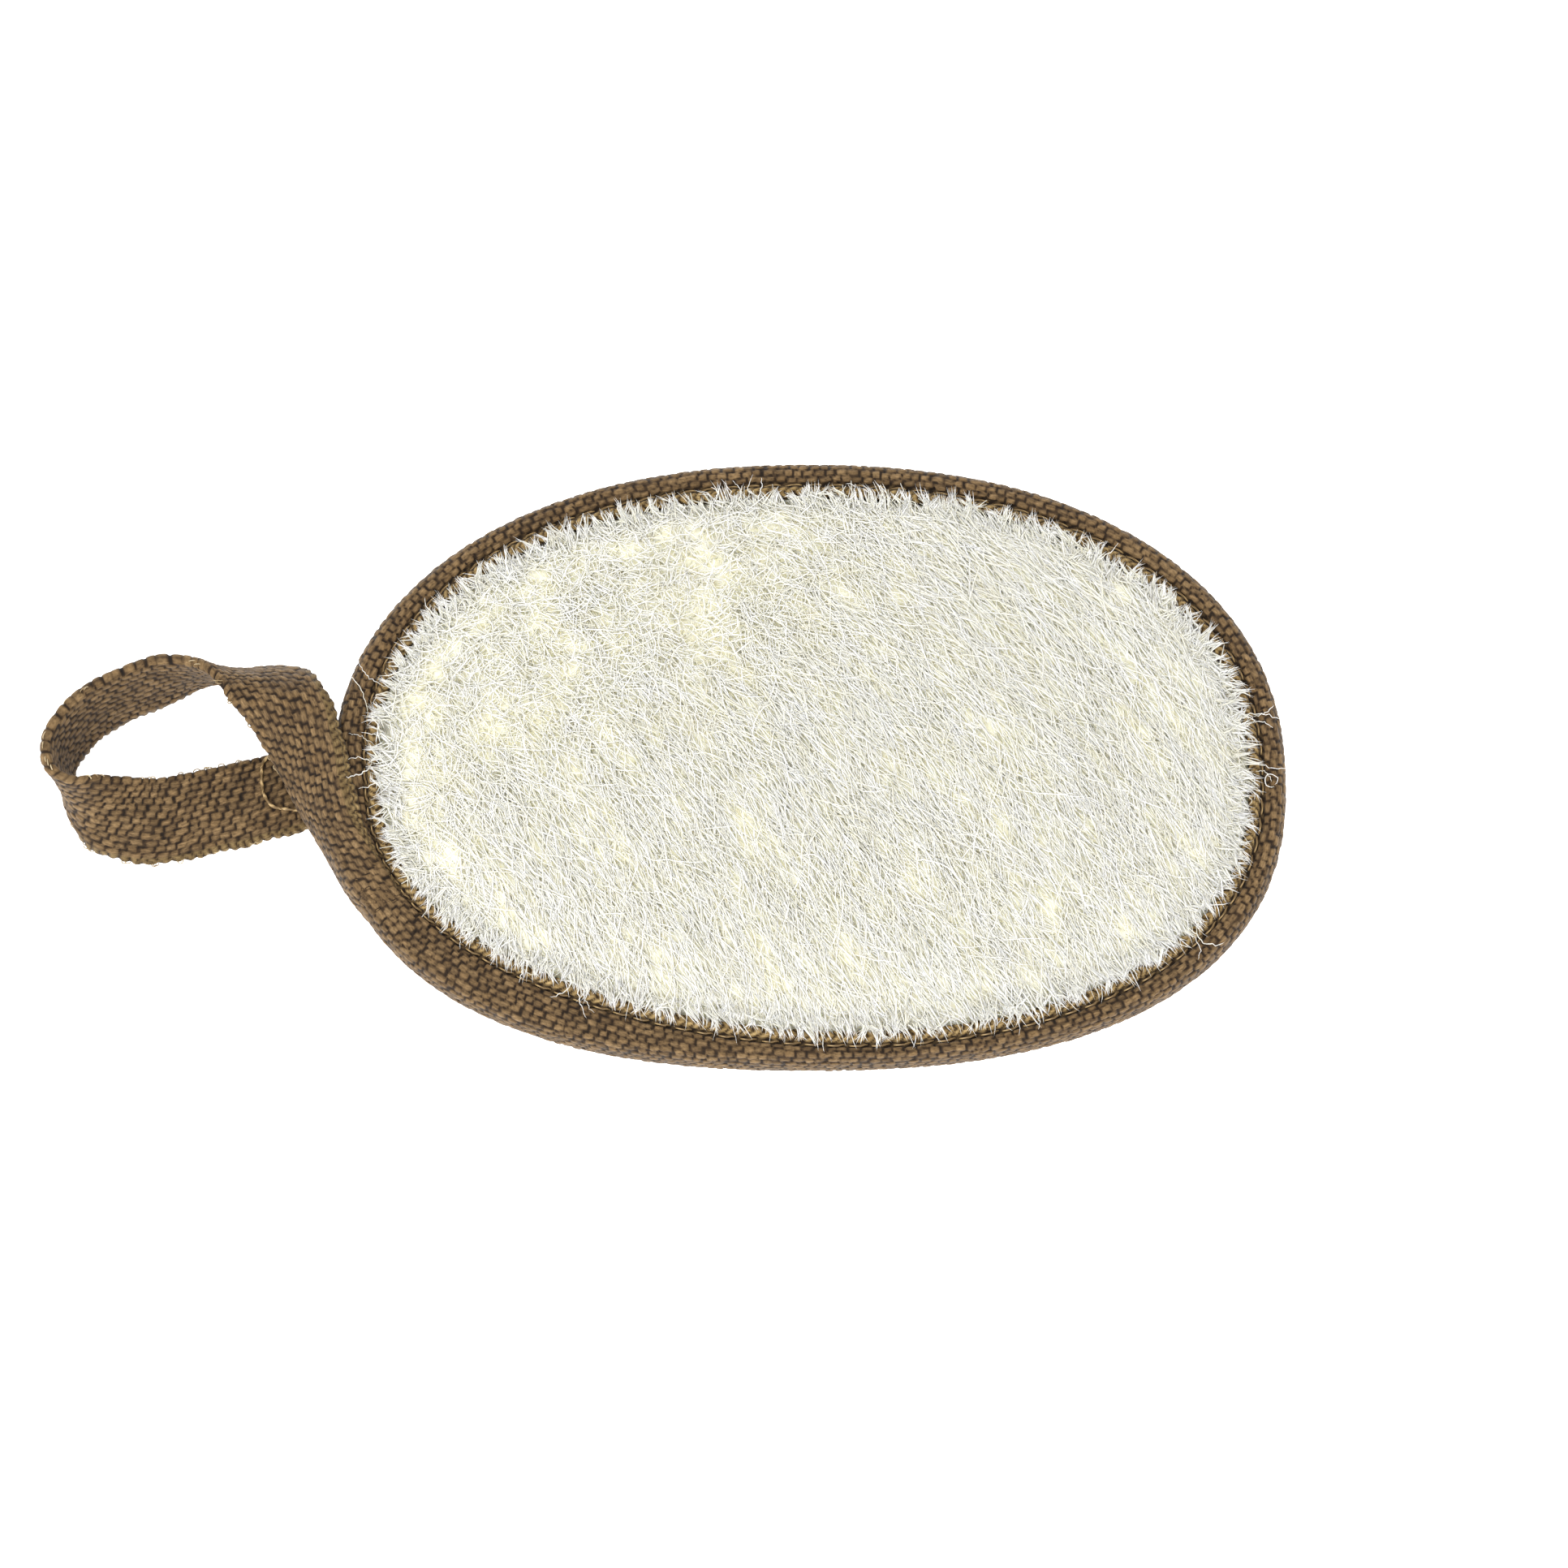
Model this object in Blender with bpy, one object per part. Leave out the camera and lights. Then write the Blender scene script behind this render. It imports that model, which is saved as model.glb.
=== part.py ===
"""Natural loofah pad with a woven tape folded over its rim and a hanging loop.

The pad lies on the small flat spot of its pressed back face. The origin is in that spot,
+X runs along the oval away from the loop, and +Z points out of the front face.
"""
import math
import random

import bmesh
import bpy
import numpy as np
from mathutils import Vector

MM = 0.001

# Driving dimensions of the oval, over its binding
PAD_LENGTH = 130 * MM
PAD_WIDTH = 85 * MM
OVAL_POWER = 2.3
END_DROOP = 2.4 * MM
AROUND = 64

# Height of the rim's middle plane above the surface, and of both faces from that plane
RIM_PLANE = 8.5 * MM
FRONT_CROWN = 9.5 * MM
REST_DEPTH = 0.2 * MM
BACK_CROWN = RIM_PLANE - REST_DEPTH

# Clearance left between pieces that touch on the real thing
GAP = 0.3 * MM

# Binding tape: its thickness, its height over the folded rim and how far in it reaches
TAPE = 1.3 * MM
RIM_HALF = 3.9 * MM
BAND = 5.3 * MM
BAND_WIDER = 2.9 * MM
BAND_WIDER_AT = math.radians(213)
BAND_NARROWER = 1.0 * MM
BAND_NARROWER_AT = math.radians(285)
BAND_SPREAD = math.radians(34)

# The tape's section near its inner edge: a raised selvage, then the sunken stitch line
SELVAGE = 1.4 * MM
SELVAGE_TOP = 3.75 * MM
LINE_WIDTH = 1.2 * MM
LINE_FLOOR = 2.9 * MM
LINE_MIDDLE = SELVAGE + LINE_WIDTH / 2
SHOULDER = 1.0 * MM
SHOULDER_TOP = 3.55 * MM

# The pad's edge, pressed inside the folded tape
EDGE_HALF = RIM_HALF - 1.4 * MM - GAP
EDGE_IN = TAPE + GAP
FOOT_CLEAR = 0.8 * MM

# The two domes: how square they are, and the pressed spot of the back one
DOME_POWER = 2.6
DOME_ROUND = 0.55
FLAT_SHARE = 0.27
PRESS = 1.0 * MM
PRESS_BLEND = 0.09

# The low three-cornered flat spot that the pad lies on, round its weight
REST_MIDDLE = (-1.0 * MM, -0.5 * MM)
REST_REACH = 13 * MM
REST_CORNERS = 3

# Nap of the fibre: its lie on the face, and the low tufts that it mats into
NAP = math.radians(-57)
TUFT_HEIGHT = 0.55 * MM
TUFT_WIDTH = 11 * MM
TUFT_LENGTH = 26 * MM

# Combed ridges of matted fibre, larger than life, in lines along the nap
RIDGES = 72
RIDGE_STEPS = 11
RIDGE_MARGIN = 1.2 * MM
RIDGE_TOP = 0.41 * MM
RIDGE_FLOOR = -0.34 * MM
RIDGE_SPREAD = 0.26 * MM
RIDGE_WANDER = 1.2 * MM
RIDGE_JITTER = 0.2 * MM
WALL = 0.6 * MM

# Strands, larger than life: three-sided, with both roots sunk in the mat
STRAND_SEED = 11
STRAND_RADIUS = 0.5 * MM
FRONT_STRANDS = 56
BACK_STRANDS = 26
FRONT_FRINGE = 44
BACK_FRINGE = 22
ROOT_DEPTH = 1.1 * MM
STRAND_AREA = 0.93
FRINGE_ROOT_IN = 3.4 * MM
FRINGE_BEND_IN = 0.6 * MM
NO_FRINGE_AT = math.radians(192)
NO_FRINGE_SPREAD = math.radians(32)

# Hanging loop: the tape folded double, full width away from the rim
LOOP_HALF = 5.75 * MM
LOOP_THICK_HALF = 0.8 * MM
LOOP_FLARE_HALF = 0.95 * MM
LOOP_STEPS = 50
LOOP_UNDER = 3.3 * MM

# Sewing thread
THREAD_RADIUS = 0.2 * MM
STITCH = 6 * MM

CREAM = (0.87, 0.86, 0.74)
BROWN = (0.165, 0.105, 0.048)
THREAD_BROWN = (0.2, 0.13, 0.06)


def material(name, colour, roughness):
    """A plain finish with the colour and roughness of the real material."""
    finish = bpy.data.materials.new(name)
    finish.use_nodes = True
    shader = finish.node_tree.nodes["Principled BSDF"]
    shader.inputs["Base Color"].default_value = (*colour, 1)
    shader.inputs["Roughness"].default_value = roughness
    shader.inputs["Metallic"].default_value = 0
    finish.diffuse_color = (*colour, 1)
    return finish


def add_piece(name, points, faces, finish):
    """One closed piece from its points and faces, with every face turned outwards."""
    mesh = bpy.data.meshes.new(name)
    mesh.from_pydata(points, [], faces)
    shape = bmesh.new()
    shape.from_mesh(mesh)
    bmesh.ops.recalc_face_normals(shape, faces=shape.faces)
    shape.to_mesh(mesh)
    shape.free()
    mesh.shade_smooth()
    mesh.set_sharp_from_angle(angle=math.radians(40))
    mesh.materials.append(finish)
    piece = bpy.data.objects.new(name, mesh)
    bpy.context.scene.collection.objects.link(piece)
    return piece


def skin(rows, closed):
    """Points and faces of a surface through equal rows, each of them a closed ring.

    When closed, the last row joins the first; otherwise both ends are capped flat.
    """
    width = len(rows[0])
    points = [tuple(point) for row in rows for point in row]
    faces = []
    for r in range(len(rows) if closed else len(rows) - 1):
        here = r * width
        there = (r + 1) % len(rows) * width
        for i in range(width):
            j = (i + 1) % width
            faces.append((here + i, here + j, there + j, there + i))
    if not closed:
        faces.append(tuple(range(width)))
        faces.append(tuple(range(len(points) - width, len(points))))
    return points, faces


def rim_outline():
    """Outer edge of the rim: evenly spaced points and their outward normals, seen from above."""
    turn = np.linspace(0, math.tau, 1441)
    cos, sin = np.cos(turn), np.sin(turn)
    x = PAD_LENGTH / 2 * np.sign(cos) * np.abs(cos) ** (2 / OVAL_POWER)
    y = PAD_WIDTH / 2 * np.sign(sin) * np.abs(sin) ** (2 / OVAL_POWER)
    y -= END_DROOP * (2 * x / PAD_LENGTH) ** 2
    run = np.concatenate([[0], np.cumsum(np.hypot(np.diff(x), np.diff(y)))])
    even = np.linspace(0, run[-1], AROUND, endpoint=False)
    xy = np.stack([np.interp(even, run, x), np.interp(even, run, y)], axis=1)
    tangent = np.roll(xy, -1, axis=0) - np.roll(xy, 1, axis=0)
    normal = np.stack([tangent[:, 1], -tangent[:, 0]], axis=1)
    normal /= np.linalg.norm(normal, axis=1)[:, None]
    return xy, normal


def bump_at(angle, middle):
    """A smooth rise to 1 round one direction from the pad's middle."""
    away = (angle - middle + math.pi) % math.tau - math.pi
    return np.exp(-(away / BAND_SPREAD) ** 2)


def band_width(xy):
    """How far in the tape reaches on the faces: wider where the loop leaves it."""
    angle = np.arctan2(xy[:, 1], xy[:, 0])
    wider = BAND_WIDER * bump_at(angle, BAND_WIDER_AT)
    narrower = BAND_NARROWER * bump_at(angle, BAND_NARROWER_AT)
    return BAND + wider - narrower


def ring(xy, normal, inward, height):
    """A ring of points inside the outline, at one height from the rim's middle plane."""
    inner = xy - normal * np.reshape(inward, (-1, 1))
    return [(px, py, RIM_PLANE + height) for px, py in inner]


def smooth_step(value):
    """0 below 0, 1 above 1, with an easy curve between."""
    t = min(1, max(0, value))
    return t * t * (3 - 2 * t)


def dome(share, flat):
    """Height of a dome from 1 over its flat middle to 0 at its foot."""
    t = max(0, share - flat) / (1 - flat)
    return max(0, 1 - t ** DOME_POWER) ** DOME_ROUND


def tufts(x, y):
    """The mat's low relief, from -1 to 1: long waves along the nap, broken along it."""
    along = x * math.cos(NAP) + y * math.sin(NAP)
    across = y * math.cos(NAP) - x * math.sin(NAP)
    wander = 1.3 * math.sin(math.tau * along / TUFT_LENGTH)
    waves = math.sin(math.tau * across / TUFT_WIDTH + wander)
    breaks = math.sin(math.tau * (along + 0.35 * across) / (0.6 * TUFT_LENGTH))
    return 0.6 * waves + 0.4 * breaks


class Mat:
    """The loofah's two faces, as heights over the foot of their domes."""

    def __init__(self, xy, normal):
        self.foot = xy - normal * (band_width(xy) + FOOT_CLEAR)[:, None]
        angles = np.arctan2(self.foot[:, 1], self.foot[:, 0])
        order = np.argsort(angles)
        self.angles = angles[order]
        self.reach = np.hypot(self.foot[:, 0], self.foot[:, 1])[order]

    def share(self, x, y):
        """0 in the middle of the pad and 1 at the foot of the domes."""
        reach = np.interp(math.atan2(y, x), self.angles, self.reach, period=math.tau)
        return math.hypot(x, y) / reach

    def height(self, x, y, side):
        """Height of the front face, side 1, or the back face, side -1."""
        share = self.share(x, y)
        fade = 1 - min(1, share) ** 6
        if side > 0:
            rise = EDGE_HALF + (FRONT_CROWN - EDGE_HALF) * dome(share, 0)
            return RIM_PLANE + rise + TUFT_HEIGHT * fade * tufts(x, y)
        pressed = smooth_step((FLAT_SHARE + PRESS_BLEND - share) / PRESS_BLEND)
        drop = EDGE_HALF + (BACK_CROWN - PRESS - EDGE_HALF) * dome(share, FLAT_SHARE)
        relief = TUFT_HEIGHT * fade * (1 - pressed) * (1 + tufts(x, y)) / 2
        return RIM_PLANE - drop - PRESS * pressed + relief


def nap_lines(foot, ahead, aside):
    """Evenly spaced lines along the nap: where each lies, and where it meets the foot."""
    along = foot @ ahead
    across = foot @ aside
    low = int(across.argmin())
    high = int(across.argmax())
    one = [(low + k) % len(foot) for k in range((high - low) % len(foot) + 1)]
    other = [(low - k) % len(foot) for k in range((low - high) % len(foot) + 1)]
    lines = np.linspace(across[low] + RIDGE_MARGIN, across[high] - RIDGE_MARGIN, RIDGES)
    ends = [np.interp(lines, across[side], along[side]) for side in (one, other)]
    return lines, np.minimum(*ends), np.maximum(*ends)


def combed_face(mat, rng, side, finish):
    """One face of the mat as a solid: its dome, combed into ridges along the nap."""
    lie = NAP if side > 0 else math.pi - NAP
    ahead = np.array([math.cos(lie), math.sin(lie)])
    aside = np.array([-math.sin(lie), math.cos(lie)])
    lines, starts, stops = nap_lines(mat.foot, ahead, aside)
    wall = RIM_PLANE + side * (EDGE_HALF + WALL)
    rows = []
    for i, line in enumerate(lines):
        row = []
        for j in range(RIDGE_STEPS + 1):
            part = j / RIDGE_STEPS
            eased = (part + 0.5 - 0.5 * math.cos(math.pi * part)) / 2
            along = starts[i] + eased * (stops[i] - starts[i])
            x, y = ahead * along + aside * line
            if i in (0, RIDGES - 1) or j in (0, RIDGE_STEPS):
                row.append((x, y, wall))
                continue
            share = min(1, mat.share(x, y))
            wander = RIDGE_WANDER * math.sin(math.tau * (along + 0.4 * line) / TUFT_LENGTH)
            wander += rng.uniform(-RIDGE_JITTER, RIDGE_JITTER)
            x, y = (x, y) + aside * wander * (1 - share ** 8)
            ridge = RIDGE_TOP if i % 2 else RIDGE_FLOOR
            ridge = (ridge + rng.uniform(-RIDGE_SPREAD, RIDGE_SPREAD)) * (1 - share ** 12)
            if side < 0:
                ridge *= smooth_step((share - FLAT_SHARE) / PRESS_BLEND)
            row.append((x, y, mat.height(x, y, side) + side * ridge))
        rows.append(row)
    points = [point for row in rows for point in row]
    step = RIDGE_STEPS + 1
    faces = []
    for i in range(RIDGES - 1):
        for j in range(RIDGE_STEPS):
            here = i * step + j
            faces.append((here, here + 1, here + step + 1, here + step))
    edge = list(range(RIDGE_STEPS))
    edge += [i * step + RIDGE_STEPS for i in range(RIDGES - 1)]
    edge += [(RIDGES - 1) * step + j for j in range(RIDGE_STEPS, 0, -1)]
    edge += [i * step for i in range(RIDGES - 1, 0, -1)]
    base = len(points)
    points += [(points[e][0], points[e][1], RIM_PLANE - side * WALL) for e in edge]
    for k, e in enumerate(edge):
        after = (k + 1) % len(edge)
        faces.append((e, edge[after], base + after, base + k))
    faces.append(tuple(range(base, base + len(edge))))
    return add_piece("face", points, faces, finish)


def pressed_edge(rim, finish):
    """The pad's thin edge, pressed flat inside the folded tape."""
    xy, normal = rim
    bevel = 0.7 * MM
    rows = [ring(xy, normal, np.full(len(xy), inward), height)
            for inward, height in ((EDGE_IN + bevel, EDGE_HALF), (EDGE_IN, EDGE_HALF - bevel),
                                   (EDGE_IN, bevel - EDGE_HALF), (EDGE_IN + bevel, -EDGE_HALF))]
    points, faces = skin(rows, closed=False)
    return add_piece("loofah_pad", points, faces, finish)


def tube_rows(path, radii, sides, upward=1):
    """Rings of a thin tube along a path, with one edge of it turned up, or down for -1."""
    rows = []
    for i, centre in enumerate(path):
        before = path[max(0, i - 1)]
        after = path[min(len(path) - 1, i + 1)]
        ahead = (after - before).normalized()
        across = ahead.cross(Vector((0, 0, upward))).normalized()
        up = across.cross(ahead)
        row = []
        for k in range(sides):
            turn = math.tau * k / sides
            offset = up * math.cos(turn) + across * math.sin(turn)
            row.append(centre + offset * radii[i])
        rows.append(row)
    return rows


def add_strand(path, side, finish):
    """One three-sided strand, thickest in the middle."""
    last = len(path) - 1
    radii = [STRAND_RADIUS * (1 - 0.35 * abs(2 * i / last - 1)) for i in range(last + 1)]
    points, faces = skin(tube_rows(path, radii, 3, side), closed=False)
    return add_piece("strand", points, faces, finish)


def surface_strand(mat, rng, side, finish):
    """A strand that rises out of the mat, lies along the nap and sinks back in."""
    x, y = mat.foot[rng.randrange(AROUND)] * STRAND_AREA * math.sqrt(rng.random())
    lie = NAP + rng.gauss(0, 0.45)
    if side < 0:
        lie = math.pi - lie
    half = rng.uniform(4.5, 7.5) * MM
    bow = rng.uniform(-1.4, 1.4) * MM
    lift = rng.uniform(0.45, 0.8) * MM if side > 0 else 0.42 * MM
    path = []
    for t in (-1, -0.45, 0.45, 1):
        aside = bow * (1 - t * t)
        px = x + half * t * math.cos(lie) - aside * math.sin(lie)
        py = y + half * t * math.sin(lie) + aside * math.cos(lie)
        if mat.share(px, py) > 0.97:
            return None
        sunk = -ROOT_DEPTH if abs(t) == 1 else lift
        path.append(Vector((px, py, mat.height(px, py, side) + side * sunk)))
    if min(point.z for point in path[1:3]) < STRAND_RADIUS + REST_DEPTH / 2:
        return None
    return add_strand(path, side, finish)


def fringe_strand(mat, outward, index, rng, side, finish):
    """A strand with its root in the dome's flank and its free tip over the tape."""
    out = Vector((*outward, 0))
    turn = rng.uniform(-0.7, 0.7)
    heading = Vector((out.x * math.cos(turn) - out.y * math.sin(turn),
                      out.x * math.sin(turn) + out.y * math.cos(turn), 0))
    foot = Vector((*mat.foot[index], 0))
    over_tape = RIM_HALF + GAP + STRAND_RADIUS + 0.1 * MM
    root = foot - out * FRINGE_ROOT_IN
    root.z = mat.height(root.x, root.y, side) - side * ROOT_DEPTH
    bend = foot - out * FRINGE_BEND_IN
    bend.z = RIM_PLANE + side * (over_tape + rng.uniform(0.2, 0.7) * MM)
    tip = foot + heading * rng.uniform(2.4, 4.0) * MM
    tip.z = RIM_PLANE + side * (over_tape + rng.uniform(0, 0.4) * MM)
    return add_strand([root, bend, tip], side, finish)


def rest_spot(finish):
    """The flat spot that the pad lies on: a low plate with its top sunk in the mat."""
    rows = []
    for height in (0, REST_DEPTH + ROOT_DEPTH):
        row = []
        for k in range(REST_CORNERS):
            turn = math.tau * (k / REST_CORNERS + 0.25)
            row.append((REST_MIDDLE[0] + REST_REACH * math.cos(turn),
                        REST_MIDDLE[1] + REST_REACH * math.sin(turn), height))
        rows.append(row)
    points, faces = skin(rows, closed=False)
    return add_piece("rest", points, faces, finish)


def fuse(core, strands):
    """Joins the strands to the mat that they grow from, as one body."""
    group = bpy.data.collections.new("strands")
    bpy.context.scene.collection.children.link(group)
    for strand in strands:
        group.objects.link(strand)
        bpy.context.scene.collection.objects.unlink(strand)
    join = core.modifiers.new("strands", "BOOLEAN")
    join.operation = "UNION"
    join.operand_type = "COLLECTION"
    join.collection = group
    join.solver = "MANIFOLD"
    seen = bpy.context.evaluated_depsgraph_get()
    joined = bpy.data.meshes.new_from_object(core.evaluated_get(seen))
    core.modifiers.clear()
    core.data = joined
    for strand in list(group.objects):
        bpy.data.objects.remove(strand)
    bpy.data.collections.remove(group)


def near(angle, middle, spread):
    """Whether a direction from the pad's middle lies close to another."""
    return abs((angle - middle + math.pi) % math.tau - math.pi) < spread


def build_pad(rim):
    """The loofah: a crowned mat of fibre with its strands, grown as one piece."""
    xy, normal = rim
    finish = material("loofah_fibre", CREAM, 0.9)
    mat = Mat(xy, normal)
    core = pressed_edge(rim, finish)
    rng = random.Random(STRAND_SEED)
    strands = [combed_face(mat, rng, side, finish) for side in (1, -1)]
    strands.append(rest_spot(finish))
    for side, wanted in ((1, FRONT_STRANDS), (-1, BACK_STRANDS)):
        found = 0
        while found < wanted:
            strand = surface_strand(mat, rng, side, finish)
            if strand:
                strands.append(strand)
                found += 1
    for side, wanted in ((1, FRONT_FRINGE), (-1, BACK_FRINGE)):
        for k in range(wanted):
            index = (k * AROUND + rng.randrange(wanted)) // wanted % AROUND
            if near(math.atan2(xy[index][1], xy[index][0]), NO_FRINGE_AT, NO_FRINGE_SPREAD):
                continue
            strands.append(fringe_strand(mat, normal[index], index, rng, side, finish))
    fuse(core, strands)
    return core


def build_binding(rim, finish):
    """The tape folded over the rim: selvage strip, sunken stitch line, band and fold."""
    xy, normal = rim
    width = band_width(xy)
    zero = np.zeros(len(xy))
    line_in = width - SELVAGE
    line_out = line_in - LINE_WIDTH
    slope = LINE_WIDTH / 3
    outside = [
        (width, EDGE_HALF + GAP),
        (width - 0.1 * MM, SELVAGE_TOP - 0.4 * MM),
        (width - SELVAGE / 2, SELVAGE_TOP),
        (line_in, SELVAGE_TOP - 0.25 * MM),
        (line_in - slope, LINE_FLOOR),
        (line_out + slope, LINE_FLOOR),
        (line_out, SHOULDER_TOP),
        ((line_out + SHOULDER) / 2, RIM_HALF),
        (zero + SHOULDER, SHOULDER_TOP),
        (zero + 0.3 * SHOULDER, 0.6 * SHOULDER_TOP),
    ]
    inside = [
        (zero + TAPE, 1.8 * MM),
        (zero + TAPE + 0.9 * MM, EDGE_HALF + GAP),
    ]
    profile = outside + [(zero, 0)] + [(u, -v) for u, v in reversed(outside)]
    profile += [(u, -v) for u, v in reversed(inside)] + inside
    rows = [ring(xy, normal, u, v) for u, v in profile]
    points, faces = skin(rows, closed=True)
    return add_piece("rim_binding", points, faces, finish)


def build_seam(rim, name, side, finish):
    """The seam's thread on one face: a closed run of stitches in the sunken line."""
    xy, normal = rim
    line = xy - normal * (band_width(xy) - LINE_MIDDLE)[:, None]
    pulled_in = LINE_FLOOR + GAP + THREAD_RADIUS
    closed = np.vstack([line, line[:1]])
    run = np.concatenate([[0], np.cumsum(np.linalg.norm(np.diff(closed, axis=0), axis=1))])
    count = 2 * round(run[-1] / STITCH)
    rows = []
    for k in range(count):
        place = run[-1] * k / count
        x = np.interp(place, run, closed[:, 0])
        y = np.interp(place, run, closed[:, 1])
        next_x = np.interp(place + MM, run, closed[:, 0], period=run[-1])
        next_y = np.interp(place + MM, run, closed[:, 1], period=run[-1])
        out = Vector((next_y - y, x - next_x, 0)).normalized()
        rise = pulled_in + (k % 2) * THREAD_RADIUS
        centre = Vector((x, y, RIM_PLANE + side * rise))
        row = []
        for corner in range(3):
            turn = math.tau * corner / 3
            offset = Vector((0, 0, side)) * math.cos(turn) + out * math.sin(turn)
            row.append(centre + offset * THREAD_RADIUS)
        rows.append(row)
    points, faces = skin(rows, closed=True)
    return add_piece(name, points, faces, finish)


def loop_route():
    """The loop's middle line in millimetres, with its lean and its share of full width.

    It starts on top of the rim, turns on edge round the eye and ends under the rim. Lean
    is 90 where the open selvages point to the pad or away from the eye, and 180 where
    the tape stands on them.
    """
    return [
        (-53.6, -27.4, 13.65, 90, 0.3),
        (-60.0, -19.2, 13.65, 90, 0.6),
        (-64.8, -9.3, 13.65, 90, 0.68),
        (-67.3, -2.1, 13.6, 90, 0.82),
        (-69.8, 3.8, 12.5, 84, 0.95),
        (-72.0, 8.2, 11.4, 94, 1.0),
        (-74.8, 11.1, 9.8, 120, 1.0),
        (-77.9, 12.5, 8.1, 147, 1.0),
        (-81.1, 13.5, 7.3, 164, 1.0),
        (-84.1, 13.4, 7.2, 179, 1.0),
        (-88.0, 12.7, 7.1, 191, 1.0),
        (-93.5, 10.8, 6.8, 194, 1.0),
        (-98.2, 8.2, 6.7, 194, 1.0),
        (-101.1, 5.3, 6.6, 194, 1.0),
        (-102.8, 1.9, 6.6, 192, 1.0),
        (-102.7, -1.2, 6.6, 186, 1.0),
        (-101.0, -4.0, 6.5, 168, 1.0),
        (-97.7, -5.9, 5.4, 136, 1.0),
        (-93.2, -6.8, 4.3, 114, 1.0),
        (-89.0, -7.0, 3.9, 104, 1.0),
        (-84.4, -6.0, 3.7, 98, 1.0),
        (-79.6, -4.9, 3.5, 94, 1.0),
        (-72.7, -3.0, 3.35, 90, 1.0),
        (-66.1, -1.1, 3.3, 90, 1.0),
        (-60.0, 0.5, 3.3, 90, 0.95),
    ]


def smooth_route(stations, steps):
    """Evenly spread points of a smooth curve through the stations."""
    table = np.array(stations, dtype=float)
    run = np.concatenate([[0], np.cumsum(np.linalg.norm(np.diff(table[:, :3], axis=0), axis=1))])
    slope = np.gradient(table, run, axis=0)
    out = []
    for place in np.linspace(0, run[-1], steps):
        i = min(len(run) - 2, int(np.searchsorted(run, place, side="right")) - 1)
        span = run[i + 1] - run[i]
        t = (place - run[i]) / span
        out.append((2 * t**3 - 3 * t**2 + 1) * table[i] + (t**3 - 2 * t**2 + t) * span * slope[i]
                   + (3 * t**2 - 2 * t**3) * table[i + 1] + (t**3 - t**2) * span * slope[i + 1])
    return np.array(out)


def build_loop(finish):
    """The hanging loop: tape folded double, its fold at one edge, selvages at the other."""
    section = [
        (-LOOP_HALF, 0),
        (-LOOP_HALF + 0.3 * MM, 0.6 * MM),
        (-LOOP_HALF + 1.4 * MM, LOOP_THICK_HALF),
        (LOOP_HALF - 1.8 * MM, LOOP_THICK_HALF),
        (LOOP_HALF - 0.9 * MM, LOOP_FLARE_HALF),
        (LOOP_HALF, 0.5 * MM),
        (LOOP_HALF - 0.7 * MM, 0),
    ]
    section += [(a, -b) for a, b in reversed(section[1:-1])]
    route = smooth_route(loop_route(), LOOP_STEPS)
    centres = [Vector(row[:3]) * MM for row in route]
    rows = []
    for i, centre in enumerate(centres):
        before = centres[max(0, i - 1)]
        after = centres[min(len(centres) - 1, i + 1)]
        ahead = (after - before).normalized()
        outward = ahead.cross(Vector((0, 0, 1))).normalized()
        lean = math.radians(route[i][3])
        across = outward * math.sin(lean) + Vector((0, 0, 1)) * math.cos(lean)
        across = (across - ahead * across.dot(ahead)).normalized()
        through = ahead.cross(across)
        share = route[i][4]
        rows.append([centre + across * a * share + through * b for a, b in section])
    points, faces = skin(rows, closed=False)
    return add_piece("hanging_loop", points, faces, finish)


def build_tack(finish):
    """The loose stitch that lies across the loop's lower run, close to the rim."""
    top = LOOP_UNDER + LOOP_FLARE_HALF + GAP + THREAD_RADIUS
    route = [(-73.5, 2.0), (-75.0, 1.6), (-75.2, -1.0), (-74.8, -3.6), (-73.4, -5.2),
             (-70.2, -5.6)]
    path = [Vector((x * MM, y * MM, top)) for x, y in route]
    points, faces = skin(tube_rows(path, [THREAD_RADIUS] * len(path), 4), closed=False)
    return add_piece("loop_tack_thread", points, faces, finish)


def main():
    for thing in list(bpy.data.objects):
        bpy.data.objects.remove(thing)
    rim = rim_outline()
    tape = material("woven_tape", BROWN, 0.85)
    thread = material("sewing_thread", THREAD_BROWN, 0.7)
    build_pad(rim)
    build_binding(rim, tape)
    build_loop(tape)
    build_seam(rim, "seam_thread_top", 1, thread)
    build_seam(rim, "seam_thread_under", -1, thread)
    build_tack(thread)


main()
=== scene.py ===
import math

import bpy
import numpy as np
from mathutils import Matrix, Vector


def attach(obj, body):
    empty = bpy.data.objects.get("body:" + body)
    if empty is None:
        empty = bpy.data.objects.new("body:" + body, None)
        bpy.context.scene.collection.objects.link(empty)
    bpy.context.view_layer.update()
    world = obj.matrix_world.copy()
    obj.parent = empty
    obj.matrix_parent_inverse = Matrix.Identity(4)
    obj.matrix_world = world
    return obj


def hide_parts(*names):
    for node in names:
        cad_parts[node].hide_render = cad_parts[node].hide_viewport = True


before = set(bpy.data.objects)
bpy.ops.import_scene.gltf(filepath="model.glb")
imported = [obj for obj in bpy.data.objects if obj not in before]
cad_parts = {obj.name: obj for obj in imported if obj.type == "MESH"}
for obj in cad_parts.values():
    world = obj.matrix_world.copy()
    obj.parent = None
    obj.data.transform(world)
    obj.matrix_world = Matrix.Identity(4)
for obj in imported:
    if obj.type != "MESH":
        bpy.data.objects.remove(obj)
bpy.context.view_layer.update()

# Lengths are in millimetres, save where a name ends in _M, for metres.
MM = 0.001


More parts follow.
